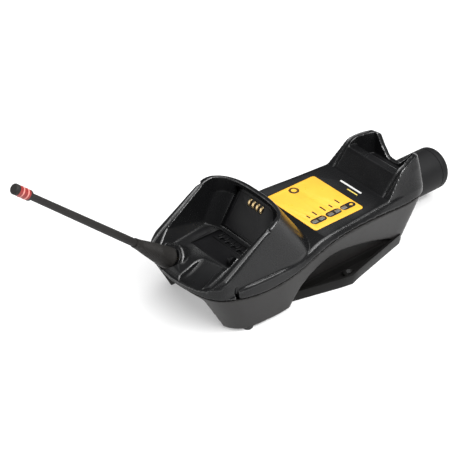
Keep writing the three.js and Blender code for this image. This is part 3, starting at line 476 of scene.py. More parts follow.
def moulded(name, colour, rough, grain, wear_and_highlight, grain_scale=2600, specular=0.5, polish=0):
    """Moulded plastic or rubber: fine grain, cloudy sheen, handling marks and paler, shiny edges.

    grain is the depth of the grain in millimetres. polish is added to the specular level of upper edges.
    The paler colour of convex edges is partly scuffing from handling and partly a painted highlight.
    """
    spread = 0.05
    n = Nodes(name)
    cloud = n.noise(28, 4)
    speck = n.noise(grain_scale * 0.42, 2, 0.7)
    base = n.mix(n.spread(cloud, 0.3, 0.7, 0, 1), shade(colour, 0.86), shade(colour, 1.16))
    base = n.mix(n.spread(speck, 0.55, 0.8, 0, 0.35), base, shade(colour, 1.7))
    geometry = n.add("ShaderNodeNewGeometry")
    edge = geometry.outputs["Pointiness"]
    # Convex edges turn paler: partly real scuffing from handling, partly a painted highlight along the edges.
    worn_and_highlit = n.spread(edge, 0.52, 0.6, 0, wear_and_highlight)
    rubbed_and_highlit = n.maths("MULTIPLY", worn_and_highlit, n.spread(n.noise(140, 4), 0.35, 0.7, 0.2, 1))
    base = n.mix(rubbed_and_highlit, base, tuple(min(c * 2.2 + 0.02, 1) for c in colour))
    n.link(base, n.shader.inputs["Base Color"])
    marks = n.spread(n.noise(300, 5, 0.6, (1, 4, 1)), 0.56, 0.74, 0, spread * 1.6)
    level = n.spread(cloud, 0.25, 0.75, rough - spread, rough + spread)
    n.link(n.maths("ADD", level, marks), n.shader.inputs["Roughness"])
    facing = n.add("ShaderNodeSeparateXYZ")
    n.link(geometry.outputs["Normal"], facing.inputs["Vector"])
    upper = n.spread(facing.outputs["Z"], 0.05, 0.35, 0, 1)
    handled = n.maths("MULTIPLY", n.spread(edge, 0.503, 0.54, 0, 1), upper)
    shine = n.spread(handled, 0, 1, specular, specular + polish)
    n.link(shine, n.shader.inputs["Specular IOR Level"])
    ripple = n.bump(n.noise(70, 2), 0.00016, 0.2)
    n.link(n.bump(n.noise(grain_scale, 2, 0.6), grain * MM, 0.5, ripple), n.shader.inputs["Normal"])
    return n.material


def metal(name, colour, rough, stretch=(1, 1, 12)):
    """Plated metal with a fine drawn grain and slight tarnish."""
    n = Nodes(name)
    tarnish = n.noise(420, 5)
    base = n.mix(n.spread(tarnish, 0.45, 0.75, 0, 1), colour, shade(colour, 0.62))
    n.link(base, n.shader.inputs["Base Color"])
    n.shader.inputs["Metallic"].default_value = 1
    lines = n.noise(1800, 3, 0.6, stretch)
    n.link(n.spread(lines, 0.3, 0.7, rough * 0.75, rough * 1.4), n.shader.inputs["Roughness"])
    n.link(n.bump(lines, 0.00002, 0.5), n.shader.inputs["Normal"])
    return n.material


def printed(name, colour, rough=0.34):
    """Printed plastic film: nearly even ink, a faint orange peel and a few scuffed patches."""
    n = Nodes(name)
    cloud = n.noise(60, 4)
    paler = tuple(min(c * 1.04, 1) for c in colour)
    base = n.mix(n.spread(cloud, 0.35, 0.7, 0, 1), shade(colour, 0.95), paler)
    base = n.mix(n.spread(n.noise(700, 4, 0.7), 0.62, 0.8, 0, 0.25), base, shade(colour, 0.72))
    n.link(base, n.shader.inputs["Base Color"])
    n.link(n.spread(n.noise(180, 3), 0.3, 0.7, rough - 0.07, rough + 0.1), n.shader.inputs["Roughness"])
    n.link(n.bump(n.noise(900, 2), 0.00002, 0.5), n.shader.inputs["Normal"])
    return n.material


def lens(name, colour):
    """A clouded lamp window: milky plastic over a ribbed light guide."""
    n = Nodes(name)
    cloud = n.noise(500, 3)
    base = n.mix(n.spread(cloud, 0.3, 0.7, 0, 1), shade(colour, 0.75), colour)
    n.link(base, n.shader.inputs["Base Color"])
    n.shader.inputs["Roughness"].default_value = 0.22
    n.shader.inputs["Coat Weight"].default_value = 0.4
    n.link(n.bump(n.noise(1400, 2, 0.5, (1, 6, 1)), 0.00004, 0.6), n.shader.inputs["Normal"])
    return n.material


def circuit_board(name):
    """Green solder mask with paler tracks under it."""
    n = Nodes(name)
    tracks = n.add("ShaderNodeTexBrick", Scale=140)
    n.link(n.where, tracks.inputs["Vector"])
    base = n.mix(n.spread(n.noise(800, 3), 0.4, 0.7, 0, 1), (0.008, 0.09, 0.03), (0.02, 0.17, 0.06))
    base = n.mix(n.maths("MULTIPLY", tracks.outputs["Fac"], 0.5), base, (0.05, 0.3, 0.1))
    n.link(base, n.shader.inputs["Base Color"])
    n.shader.inputs["Roughness"].default_value = 0.35
    n.link(n.bump(tracks.outputs["Fac"], 0.00003, 0.5), n.shader.inputs["Normal"])
    return n.material


FINE = 1500
YELLOW = (0.85, 0.455, 0.045)

top_plastic = moulded(
    "top_plastic", (0.0062, 0.0063, 0.0067), 0.27, 0.0012, 0.12, FINE, specular=0.22, polish=1.3
)
lower_plastic = moulded("lower_plastic", (0.015, 0.0142, 0.0138), 0.38, 0.003, 0.1, FINE, specular=0.28)
bracket_plastic = moulded("bracket_plastic", (0.006, 0.0058, 0.0056), 0.38, 0.003, 0.03, FINE, specular=0.12)
insert_plastic = moulded("insert_plastic", (0.004, 0.004, 0.0045), 0.34, 0.003, 0.05, specular=0.2)
boot_rubber = moulded("boot_rubber", (0.016, 0.0148, 0.0138), 0.6, 0.03, 0.2, specular=0.24)
foot_rubber = moulded("foot_rubber", (0.03, 0.03, 0.03), 0.8, 0.04, 0.2, specular=0.3)
battery_skin = moulded("battery_skin", (0.007, 0.007, 0.0075), 0.6, 0.05, 0.1, FINE, specular=0.2)
red_plastic = moulded("red_plastic", (0.218, 0.014, 0.012), 0.4, 0.012, 0.25)
pale_plastic = moulded("pale_red_plastic", (0.62, 0.22, 0.19), 0.45, 0.012, 0.2)
white_plastic = moulded("white_plastic", (0.7, 0.7, 0.66), 0.5, 0.012, 0.1)
clear_plastic = lens("clear_plastic", (0.72, 0.74, 0.74))
gold = metal("contact_gold", (0.95, 0.72, 0.38), 0.34)
steel = metal("screw_steel", (0.5, 0.5, 0.52), 0.34)
tinned = metal("tinned_can", (0.6, 0.6, 0.61), 0.38, (8, 1, 1))
label_film = printed("label_film", YELLOW)
button_film = printed("button_film", YELLOW)
print_black = printed("print_black", (0.008, 0.008, 0.007), 0.42)
print_white = printed("print_white", (0.6, 0.6, 0.58), 0.42)
print_yellow = printed("print_yellow", (0.72, 0.56, 0.12), 0.42)
window_lens = lens("window_lens", (0.17, 0.165, 0.15))
board_green = circuit_board("board_green")

# ---------- shared shapes ----------


def lean(x):
    """How far the side leans in at x."""
    return np.interp(x, *zip(*FLANGE_LEAN, strict=True))


def deck_body(grow):
    """The body up to the deck. In this and in the bodies below, grow moves every face out by that much."""
    rings = [
        plan_ring(BODY_HALF, BODY_BASE_Z, -grow),
        plan_ring(BODY_HALF, parting_z, -grow),
        plan_ring(BODY_HALF, lambda x: flange_z(x) - 1.8 + grow, lambda x: 0.8 * lean(x) - grow),
        plan_ring(BODY_HALF, lambda x: flange_z(x) + grow, lambda x: lean(x) + 1.3 - grow),
    ]
    return loft(rings, strips=True)


def hood_body(grow):
    rings = [
        plan_ring(hood_half(HOOD_BASE), BODY_BASE_Z, -grow),
        plan_ring(hood_half(HOOD_BASE), DECK_Z - HOOD_FOOT_DROP, -grow),
        plan_ring(hood_half(HOOD_CREST), HOOD_TOP_Z + grow, -grow),
    ]
    drop = grow * 1.18
    rim = [(x, z + drop) for x, z in smooth_curve(HOOD_RIM, 8)]
    profile = [(-118, BODY_BASE_Z - 5), *rim, (20, HOOD_TOP_Z + drop), (20, BODY_BASE_Z - 5)]
    return common(loft(rings, strips=True), prism_y(profile, *ACROSS))


def handle_ring(x0, front, back, z, grow):
    end = FAR_END_X
    half = [
        (x0, 0), (x0, front * 0.5), (x0, front - 2), (x0 + 1.5, front), (x0 + 14, front - 0.4),
        (end - 12, back + 1.6), (end - 3.5, back - 1.4), (end, back - 7), (end, back * 0.4), (end, 0),
    ]
    return plan_ring(half, z, -grow, 90)


def handle_body(grow):
    x0 = HANDLE["front"]
    rings = [
        handle_ring(x0 - 2, 37.6, 37.2, BODY_BASE_Z, grow),
        handle_ring(x0 - 2, 37.4, 36.8, DECK_Z - 2, grow),
        handle_ring(x0 + 2, 34.6, 31.6, 62, grow),
        handle_ring(x0 + 6, 32.4, 26.4, 74, grow),
    ]
    top = [(x - grow * 0.7, z + grow) for x, z in HANDLE_TOP]
    profile = [
        (78, BODY_BASE_Z - 5), (78, DECK_Z - 2 + grow), *top, (135 + grow, 60), (135 + grow, BODY_BASE_Z - 5),
    ]
    return common(loft(rings, strips=True), prism_y(profile, *ACROSS))


def scoop(grow):
    """The rounded hollow in the nose: a short lying barrel with blunt ends."""
    r, half, end = SCOOP["r"] + grow, SCOOP["half"], SCOOP["end"]
    rise, fall = np.linspace(0, math.pi / 2, 40), np.linspace(math.pi / 2, math.pi, 40)
    profile = [(r * math.sin(a), -half - end * r * math.cos(a)) for a in rise]
    profile += [(r * math.sin(a), half - end * r * math.cos(a)) for a in fall]
    barrel_place = (
        Matrix.Translation(SCOOP["centre"])
        @ Matrix.Rotation(SCOOP["turn"], 4, "Z")
        @ Matrix.Rotation(-math.pi / 2, 4, "X")
    )
    return common(lathe(profile, barrel_place, 200), block(-125, -60, -40, 30, 30, 58))


def cup_space(grow):
    """The room of the reader's cup, with the scoop in the nose."""
    foot_x, foot_z = CUP_WALL_FOOT
    reach = 60
    top = (foot_x + math.cos(CUP_WALL_ANGLE) * reach, foot_z + math.sin(CUP_WALL_ANGLE) * reach)
    side = [
        (CUP_FRONT_X, 44 - grow), (-92, 44.4 - grow), (-84, CUP_FLOOR_Z - grow),
        (foot_x + grow * 2.4, foot_z - grow), (top[0] + grow * 2.4, top[1]), (CUP_FRONT_X, top[1]),
    ]

    def section(x):
        ledge = max(CUP_LEDGE["z"] + (CUP_LEDGE["x"] - x) * CUP_LEDGE["slope"], CUP_FLOOR_Z) - grow
        half = [
            (CUP_HALF_FLOOR, CUP_FLOOR_Z - 2 - grow), (CUP_HALF_LEDGE, ledge),
            (CUP_HALF_TOP, CUP_SIDE_Z[1]), (CUP_HALF_TOP, 100),
        ]
        right = [(x, y + grow, z) for y, z in half]
        return right + [(x, -y, z) for x, y, z in reversed(right)]

    trough = loft([section(CUP_FRONT_X), section(CUP_LEDGE["x"]), section(0)])
    plan = plan_ring(CUP_PLAN, 0, -grow)
    back = np.clip((plan[:, :1] - CUP_LEAN_X[0]) / (CUP_LEAN_X[1] - CUP_LEAN_X[0]), 0, 1)

    def level(z):
        """The cup's outline at a height: its back and corners lean with the back wall up to its crest."""
        crest = foot_z + (CUP_PLAN[-1][0] - foot_x) * math.tan(CUP_WALL_ANGLE)
        shift = min(z - crest, 0) / math.tan(CUP_WALL_ANGLE)
        return plan + np.hstack([back * shift, np.zeros((len(plan), 1)), np.full((len(plan), 1), z)])

    walls = loft([level(z) for z in (20, 45, 58, 71, 110)], strips=True)
    return join(common(trough, prism_y(side, -50, 50), walls), scoop(grow))


def handle_space(grow):
    """The room between the horns: a ramp, a pocket behind it and the notch in the far wall."""
    wall_x, wall_z, pocket = HANDLE["wall_x"], HANDLE["wall_z"], HANDLE["pocket_z"]
    near, far = POCKET_X
    channel = [
        (60, DECK_Z + 0.05 + grow), (85, DECK_Z + 0.05 - grow), (wall_x, wall_z - grow),
        (near - grow, wall_z - 1.5 - grow), (near - grow, pocket - grow), (far + grow * 0.4, pocket - grow),
        (far + grow * 0.4, 90), (60, 90),
    ]
    front, back = HANDLE["half"] + grow, HANDLE["back"] + grow
    plan = [(60, -front), (near, -front), (far + grow, -back), (far + grow, back), (near, front), (60, front)]
    outline = [(y + math.copysign(grow, y), z - grow) for y, z in NOTCH]
    outline += [(26 + grow, 80), (-26 - grow, 80)]
    mouth = loft([[(x, y, z) for y, z in outline] for x in (near, 150)])
    return join(common(prism_y(channel, -40, 40), prism_z(plan, 30, 95)), mouth)


antenna_turn = Matrix.Rotation(-(math.pi / 2 - ANTENNA["tilt"]), 4, "Y")
antenna_place = Matrix.Translation(ANTENNA["root"]) @ antenna_turn
battery_place = Matrix.Translation((0, 0, BATTERY["z"])) @ Matrix.Rotation(math.pi / 2, 4, "Y")
up_wall = Vector((math.cos(CUP_WALL_ANGLE), 0, math.sin(CUP_WALL_ANGLE)))
out_of_wall = Vector((-math.sin(CUP_WALL_ANGLE), 0, math.cos(CUP_WALL_ANGLE)))
wall_place = Matrix.Translation((CUP_WALL_FOOT[0], 0, CUP_WALL_FOOT[1])) @ Matrix(
    (Vector((0, -1, 0)), up_wall, out_of_wall)
).transposed().to_4x4()


def sweep(path, radii, section):
    """A bar through a line of points. Its section is in (sideways, up) points that the radii scale."""
    path = np.array(path, float)
    ahead = np.gradient(path, axis=0)
    rings = []
    for point, along, r in zip(path, ahead, radii, strict=True):
        side = np.cross(along, (0, 0, 1))
        side /= np.linalg.norm(side)
        up = np.cross(side, along)
        up /= np.linalg.norm(up)
        rings.append([point + r * (across * side + rise * up) for across, rise in section])
    return loft(rings)


def tube(path, radii):
    """A round bar. It grows to its full radius over the first three steps from each end."""
    step = np.arange(len(path))
    blunt = np.sqrt(np.clip((np.minimum(step, step[::-1]) + 0.25) / 3, 0, 1))
    return sweep(path, radii * blunt, circle(0, 0, 1, 28))


def rim_beads():
    """For the top of each hood wall: edges to cut away, beads to add, and the groove between the beads."""
    line = smooth_curve(HOOD_RIM, 8)
    x = np.linspace(RIM_BEADS["x0"], RIM_BEADS["x1"], 44)
    z = np.interp(x, line[:, 0], line[:, 1])
    slope = (HOOD_BASE["half"] - HOOD_CREST["half"]) / (HOOD_TOP_Z - DECK_Z + HOOD_FOOT_DROP)
    body = smooth_curve(BODY_HALF)
    nose = HOOD_SHARE * np.interp(x, body[:, 0], body[:, 1])
    outside = np.minimum(HOOD_BASE["half"] - slope * (z - DECK_Z + HOOD_FOOT_DROP), nose)
    low, high = CUP_SIDE_Z
    inside = CUP_HALF_LEDGE + (z - low) / (high - low) * (CUP_HALF_TOP - CUP_HALF_LEDGE)
    wide = np.maximum(outside - inside, 2.5)
    outer, inner, proud = RIM_BEADS["outer"] * wide, RIM_BEADS["inner"] * wide, RIM_BEADS["proud"]
    tilt = np.arctan(np.gradient(z, x))
    lift = np.column_stack([-np.sin(tilt), np.zeros(len(x)), np.cos(tilt)])
    edges, beads, grooves = [], [], []
    for side in (-1, 1):
        centre = np.column_stack([x, side * (outside - outer), z]) - lift * (outer - proud)[:, None]
        corner = [(0, 0), (-side * 2, 0), (-side * 2, 2.5), (0, 2.5)]
        edges.append(sweep(centre, outer, corner))
        beads.append(tube(centre, outer))
        rim = np.column_stack([x, side * (inside + inner), z])
        beads.append(tube(rim - lift * (inner - proud)[:, None], inner))
        rim = np.column_stack([x, side * (outside - 1.62 * outer - 0.5), z])
        grooves.append(tube(rim + lift * 0.1, np.full(len(x), RIM_BEADS["groove"])))
    return edges, beads, grooves


def horn_grooves():
    """A groove along the rim of each horn of the handle cup, close to its inner edge."""
    x = np.linspace(HORN_GROOVE["x0"], HORN_GROOVE["x1"], 36)
    top = smooth_curve(HANDLE_TOP, 6)
    z = np.interp(x, top[:, 0], top[:, 1])
    y = np.interp(x, POCKET_X, (HANDLE["half"], HANDLE["back"])) + HORN_GROOVE["in"]
    r = np.full(len(x), HORN_GROOVE["r"])
    return [tube(np.column_stack([x, side * y, z]), r) for side in (-1, 1)]


def on_antenna(profile):
    return lathe(profile, antenna_place)


def along_x(profile):
    return lathe(profile, battery_place, 96)


def on_wall(x0, x1, y0, y1, z0, z1):
    """A block in the frame of the cup's back wall: across it, up it and out of it."""
    obj = block(x0, x1, y0, y1, z0, z1)
    obj.data.transform(wall_place)
    return obj


def battery_hole():
    r = SLEEVE["outer"] + GAP
    return along_x([(0, SLEEVE["x0"] - 1), (r, SLEEVE["x0"] - 1), (r, 150), (0, 150)])


def below_parting(lift):
    """Everything under the line between the shells, moved up by lift."""
    line = [(x, parting_z(x) + lift) for x in np.arange(-116, 137, 2.0)]
    return prism_y([*line, (136, -5), (-116, -5)], -70, 70)


def rounded_box(x0, x1, y0, y1, r, steps=8):
    """A plan outline with rounded corners."""
    out = []
    corners = [(x1 - r, y1 - r), (x0 + r, y1 - r), (x0 + r, y0 + r), (x1 - r, y0 + r)]
    for quarter, (cx, cy) in enumerate(corners):
        for a in np.linspace(quarter * math.pi / 2, (quarter + 1) * math.pi / 2, steps):
            out.append((cx + r * math.cos(a), cy + r * math.sin(a)))
    return out


def label_outline(grow):
    half = LABEL["half"]
    return rounded_box(LABEL["x0"] - grow, LABEL["x1"] + grow, -half - grow, half + grow, LABEL["corner"])


def window_outline(x, grow):
    along, across = WINDOW["length"] / 2 + grow, WINDOW["width"] / 2 + grow
    return rounded_box(x - along, x + along, WINDOW_Y - across, WINDOW_Y + across, 0.7, 5)


contact_ys = [step * CONTACT["pitch"] for step in (-1.5, -0.5, 0.5, 1.5)]

# ---------- the two shells and the bracket ----------


def top_shell():
    shell = join(deck_body(0), hood_body(0), handle_body(0))
    hollow = join(deck_body(-WALL), hood_body(-WALL), handle_body(-WALL))
    cut(hollow, cup_space(WALL), handle_space(WALL))
    cut(shell, hollow, cup_space(0), handle_space(0))
    edges, beads, grooves = rim_beads()
    cut(shell, *edges)
    join(shell, *beads)
    cut(shell, *grooves, *horn_grooves())
    # The open step where the flange starts.
    for side in (-1, 1):
        low, high = sorted((side * 44.2, side * 52))
        cut(shell, block(NOTCH_X - 2.8, NOTCH_X, low, high, 30, 45))
    seat_r = SEAT_BOSS_R + 1
    join(shell, on_antenna([(0, -14), (seat_r, -14), (seat_r, -1.6), (SEAT_BOSS_R, -0.6), (0, -0.6)]))
    cut(shell, below_parting(SEAM), battery_hole())
    join(shell, on_antenna([(0, -5), (SEAT_BOSS_R, -5), (SEAT_BOSS_R, -1.6), (0, -1.6)]))
    soften(shell)
    cable_r, well_r, well = SEAT_WELL["cable_r"], SEAT_WELL["r"], -SEAT_WELL["depth"]
    cut(shell, on_antenna([(0, -20), (cable_r, -20), (cable_r, 5), (0, 5)]))
    cut(shell, on_antenna([(0, well), (well_r, well), (well_r, 8), (0, 8)]))
    cut(shell, post(BUTTON["x"], BUTTON["y"], *THROUGH_DECK, BUTTON["r"] + 0.35))
    cut(shell, prism_z(label_outline(GAP), DECK_Z - 0.35, 60))
    cut(shell, *[prism_z(window_outline(x, GAP), *THROUGH_DECK) for x in WINDOW_XS])
    side = PANEL["half"] + GAP
    cut(shell, on_wall(-side, side, PANEL["low"] - GAP, PANEL["high"] + GAP, -PANEL["thick"] - GAP, 6))
    cut(shell, on_wall(-10.5, 10.5, CONTACT["low"] - 3, CONTACT["high"] + 3, -12, 0))
    half = RECESS["half"] + GAP
    cut(shell, block(RECESS["x0"] - GAP, RECESS["x1"] + GAP, -half, half, CUP_FLOOR_Z - 1.9, 60))
    return place(shell, "top_shell", "base", top_plastic, ["top_housing"])


def arch_recess(grow):
    """The arched opening in both sides of the lower shell."""
    line = [(x, max(z, -1) + grow) for x, z in smooth_curve(ARCH, 6)]
    side = [(line[0][0] - grow, -2), *line, (line[-1][0] + grow, -2)]
    inner = CHANNEL_HALF - grow
    return join(prism_y(side, inner, 70), prism_y(side, -70, -inner))


def front_recess(grow):
    """The opening under the nose."""
    side = [(-125, -5), (-125, 37.6 + grow), (-104.5, 37.6 + grow), (-101, 35.6 + grow), (-54 + grow, -5)]
    rings = [
        [(-130, -half, z), (-40, -half, z), (-40, half, z), (-130, half, z)]
        for half, z in ((33.5 + grow, -5), (29.5 + grow, 45))
    ]
    return common(prism_y(side, *ACROSS), loft(rings))


def lower_body(inset):
    return loft([
        plan_ring(BASE_HALF, 2 + inset, inset),
        plan_ring(BODY_HALF, 40, inset),
        plan_ring(BODY_HALF, 52, inset),
    ], strips=True)


def lower_shell():
    below = block(-28, 140, *ACROSS, -5, SHELL_FLOOR_Z)
    shell = cut(lower_body(0), arch_recess(0), front_recess(0), below)
    below = block(-31, 140, *ACROSS, -5, SHELL_FLOOR_Z + WALL)
    cut(shell, cut(lower_body(WALL), arch_recess(WALL), front_recess(WALL), below))
    join(shell, *[post(x, y, SCREW["post_z"], 30 if x < 0 else 36, SCREW["post_r"]) for x, y in SCREW_SPOTS])
    common(shell, below_parting(-SEAM))
    room = SEAT_BOSS_R + GAP
    cut(shell, battery_hole(), on_antenna([(0, -5.3), (room, -5.3), (room, 30), (0, 30)]))
    soften(shell)
    cut(shell, *[post(x, y, -1, 50, SCREW["hole_r"]) for x, y in SCREW_SPOTS])
    cut(shell, *[post(x, y, -1, SCREW["head_z"], SCREW["head_r"]) for x, y in SCREW_SPOTS])
    cut(shell, *[post(FOOT["x"], side * FOOT["y"], 0, FOOT["z"], FOOT["r"] + 0.2) for side in (-1, 1)])
    near = CHANNEL_HALF - WALL - 3
    x, z, half, rise = SOCKETS["host_x"], SOCKETS["z"], SOCKETS["host_half"], SOCKETS["host_rise"]
    cut(shell, block(x - half, x + half, near, 50, z - rise, z + rise))
    bore = post(SOCKETS["power_x"], -z, near, 50, SOCKETS["power_r"])
    bore.data.transform(Matrix.Rotation(-math.pi / 2, 4, "X"))
    cut(shell, bore)
    return place(shell, "lower_shell", "base", lower_plastic, ["bottom_housing"])


# ---------- cup, contacts and label ----------


def contact_panel():
    panel = on_wall(-PANEL["half"], PANEL["half"], PANEL["low"], PANEL["high"], -PANEL["thick"], 0)
    inner = PANEL["half"] - 2.5
    cut(panel, on_wall(-inner, inner, PANEL["low"] + 2, PANEL["high"] - 3, -0.5, 2))
    half, slack = CONTACT["width"] / 2, CONTACT["slack"]
    low, high = CONTACT["low"] - slack, CONTACT["high"] + slack
    for y in contact_ys:
        cut(panel, on_wall(y - half - slack, y + half + slack, low, high, -6, 3))
    bevel(panel, 0.25)
    return place(panel, "contact_panel_plate", "base", insert_plastic, ["contact_panel"])


def contact_spring(index, y):
    """A folded strip: flat where it leaves the panel, crowned where it touches the reader."""
    half, low, high = CONTACT["width"] / 2, CONTACT["low"], CONTACT["high"]
    crown = [(low, -3.8), (low, -0.2), (low + 0.9, 0.05)]
    for v in np.linspace(low + 1, high - 1, 9):
        crown.append((v, 0.75 * CONTACT["proud"] * min(1, (v - low) / 1.8, (high - v) / 1.8)))
    crown += [(high - 0.9, 0.05), (high, -0.2), (high, -3.8)]
    strip = loft([[(x, v, w) for v, w in crown] for x in (y - half, y + half)])
    strip.data.transform(wall_place)
    bevel(strip, 0.18, 2)
    stands_for = [f"charge_contact_{index}"]
    return place(strip, f"contact_spring_{index}", f"contact_{index}", gold, stands_for)


def label_pieces():
    """The overlay and its printed marks."""
    x, y = BUTTON["x"], BUTTON["y"]
    film = prism_z(label_outline(0), DECK_Z - 0.28, LABEL["top"])
    cut(film, post(x, y, *THROUGH_DECK, BUTTON["r"] + 0.3))
    cut(film, *[prism_z(window_outline(x, 0.15), *THROUGH_DECK) for x in WINDOW_XS])
    bevel(film, 0.08, 2)
    place(film, "label_film", "base", label_film, ["label_overlay"])

    ink = (LABEL["top"] - 0.02, LABEL["top"] + 0.06)
    marks = [cut(post(x, y, *ink, 4.5), post(x, y, *THROUGH_DECK, 3.92))]
    diamond = [(58.6, WINDOW_Y), (60.6, WINDOW_Y - 1.6), (62.4, WINDOW_Y), (60.6, WINDOW_Y + 1.6)]
    for x0, x1 in ((17.6, 33), (33.8, 49), (49.6, 64.2)):
        pill = prism_z(rounded_box(x0, x1, WINDOW_Y - 3.5, WINDOW_Y + 3.5, 3.4), *ink)
        holes = [diamond, *[window_outline(x, 0.15) for x in WINDOW_XS]]
        marks.append(cut(pill, *[prism_z(hole, *THROUGH_DECK) for hole in holes]))
    # Plain bars beside the windows, where short words would be: (x, start in y, length).
    bars = [(21.6, -14.5, 4.5), (28.8, -14.5, 6), (38.4, -14.5, 7.5), (45.8, -14.5, 5), (54.5, -13.5, 6.5)]
    for x, start, length in bars:
        marks.append(prism_z(rounded_box(x - 0.7, x + 0.7, start, start + length, 0.6), *ink))
    place(join(*marks), "label_marks", "base", print_black)


def deck_marks():
    """Two plain stripes on the deck, in place of lettering."""
    ink = (DECK_Z - 0.15, DECK_Z + 0.09)
    white = prism_z(rounded_box(77, 78.9, -14, 11, 0.5), *ink)
    place(white, "deck_stripe_wide", "base", print_white)
    pale = prism_z(rounded_box(73, 74.2, -14, -2, 0.4), *ink)
    place(pale, "deck_stripe_narrow", "base", print_yellow)


def button_pieces():
    x, y, r, top = BUTTON["x"], BUTTON["y"], BUTTON["r"], BUTTON["top"]
    axis = Matrix.Translation((x, y, 0))
    profile = [(0, 41.6), (1.4, 41.6), (1.4, 43.2), (5, 43.2), (5, 44.4), (r, 44.4), (r, top - 0.35)]
    profile += [(r - 0.12, top - 0.1), (r - 0.35, top), (r - 0.9, top), (r - 1.2, top - 0.12)]
    profile.append((0, top - 0.22))
    key = lathe(profile, axis)
    place(key, "page_key", "page_button", button_film, ["page_button"])
    low, inner, outer = top - 0.3, 2.4, 3.55
    profile = [(inner, low), (inner, top - 0.03), (3, top + 0.02), (3.4, top), (outer, top - 0.1)]
    profile += [(outer, low), (inner, low)]
    ring = lathe(profile, axis)
    place(ring, "page_key_ring", "page_button", print_black)


def window_pieces():
    for i, x in enumerate(WINDOW_XS, 1):
        pane = prism_z(window_outline(x, 0), DECK_Z - 2.2, DECK_Z + 0.08)
        bevel(pane, 0.15, 2)
        place(pane, f"window_pane_{i}", "base", window_lens, [f"indicator_window_{i}"])


# ---------- antenna ----------


def antenna_pieces():
    seat = [(9.2, -2.2), (11, -2.2), (11, -0.5), (10.7, 0.05), (10.3, 0.28), (9.8, 0.28), (9.35, 0.05)]
    seat += [(9.2, -0.3), (9.2, -2.2)]
    place(on_antenna(seat), "antenna_seat_ring", "base", insert_plastic, ["antenna_seat"])

    outline = smooth_curve([
        (8.2, 0.6), (8.7, 1.4), (8.7, 2.8), (8.3, 5), (7.8, 10), (7.2, 16), (6.5, 21), (5.9, 26),
        (5.2, 31), (4.6, 35), (4.1, 39), (3.8, 43),
    ], 4)
    rib_depth, rib_pitch, ribs_from, ribs_to, fade = 0.3, 1.45, 17, 37, 1.2
    profile = [(0, 0.6)]
    for r, s in evenly(outline, 190):
        ridged = 0.5 * (math.tanh((s - ribs_from) / fade) - math.tanh((s - ribs_to) / fade))
        profile.append((r - rib_depth * ridged * (0.5 + 0.5 * math.cos(2 * math.pi * s / rib_pitch)), s))
    profile.append((0, 43))
    boot = on_antenna(profile)
    cut(boot, on_antenna([(0, -2), (3.95, -2), (3.95, 8), (0, 8)]))
    cut(boot, on_antenna([(0, 30), (3.5, 30), (3.5, 50), (0, 50)]))
    place(boot, "antenna_boot_ribbed", "antenna", boot_rubber, ["antenna_boot"], crisp=50)

    run = ROD["end"] - ROD["taper_from"]
    rod = [(0, ROD["start"])]
    for s in np.linspace(ROD["start"], ROD["end"], 40):
        rod.append((ROD["r"] - ROD["taper"] * max(s - ROD["taper_from"], 0) / run, s))
    rod.append((0, ROD["end"]))
    place(on_antenna(rod), "antenna_rod", "antenna", boot_rubber, ["antenna_whip"])

    tip, low, start, end, r = ANTENNA["length"], TIP["collar"], TIP["start"], TIP["end"], TIP["r"]
    collar = [(2.75, low), (3.3, low), (3.75, 157.9), (3.98, 158.6), (3.98, start), (2.75, start)]
    collar.append((2.75, low))
    place(on_antenna(collar), "antenna_collar", "antenna", boot_rubber)
    sleeve = [(0, start), (r, start)]
    for s in BAND_SPOTS:
        after = s + BAND_WIDTH + GAP
        sleeve += [(r, s - GAP), (3.1, s - GAP), (3.1, after), (r, after)]
    sleeve += [(r, end), (0, end)]
    cap = cut(on_antenna(sleeve), on_antenna([(0, 150), (2.9, 150), (2.9, 158.4), (0, 158.4)]))
    place(cap, "antenna_red_sleeve", "antenna", red_plastic, ["antenna_tip_cap"])
    disc = [(0, 170.5), (3.85, 170.5), (3.98, 170.9), (3.98, tip - 1.2), (3.7, tip - 0.6), (3.1, tip - 0.1)]
    disc.append((0, tip - 0.1))
    place(on_antenna(disc), "antenna_end_disc", "antenna", boot_rubber)
    for i, s in enumerate(BAND_SPOTS, 1):
        after = s + BAND_WIDTH
        band = [(3.3, s), (4.0, s), (4.15, s + 0.2), (4.15, s + 0.9), (4.0, after), (3.3, after), (3.3, s)]
        ring = on_antenna(band)
        place(ring, f"antenna_ring_{i}", "antenna", pale_plastic, [f"antenna_band_{i}"])


# ---------- spare battery ----------


def battery_pieces():
    r, inner, seam, outer = BATTERY["r"], BATTERY["inner"], BATTERY["seam"], BATTERY["outer"]
    case = [(0, inner), (r - 1.5, inner), (r - 0.45, inner + 0.45), (r, inner + 1.5), (r, seam - 0.35)]
    case += [(r - 0.3, seam), (0, seam)]
    body = along_x(case)
    # The recess of the two terminals.
    z = BATTERY["z"]
    cut(body, block(inner - 1, inner + 1.7, -9.8, 9.8, z - 11.3, z - 4.7))
    place(body, "battery_barrel", "spare_battery", battery_skin, ["spare_battery_case"])
    dome = [(0, seam + GAP), (r - 0.3, seam + GAP), (r, seam + GAP + 0.35)]
    bend = 6
    for a in np.linspace(0, math.pi / 2, 14):
        dome.append((r - bend + bend * math.cos(a), outer - bend + bend * math.sin(a)))
    dome += [(r - 9.5, outer), (r - 9.8, outer - 0.35), (r - 10.2, outer - 0.35), (r - 10.5, outer)]
    dome.append((0, outer))
    end = along_x(dome)
    place(end, "battery_end", "spare_battery", battery_skin, ["spare_battery_end_cap"])


# ---------- pieces that keep their CAD shape, with rounded edges ----------


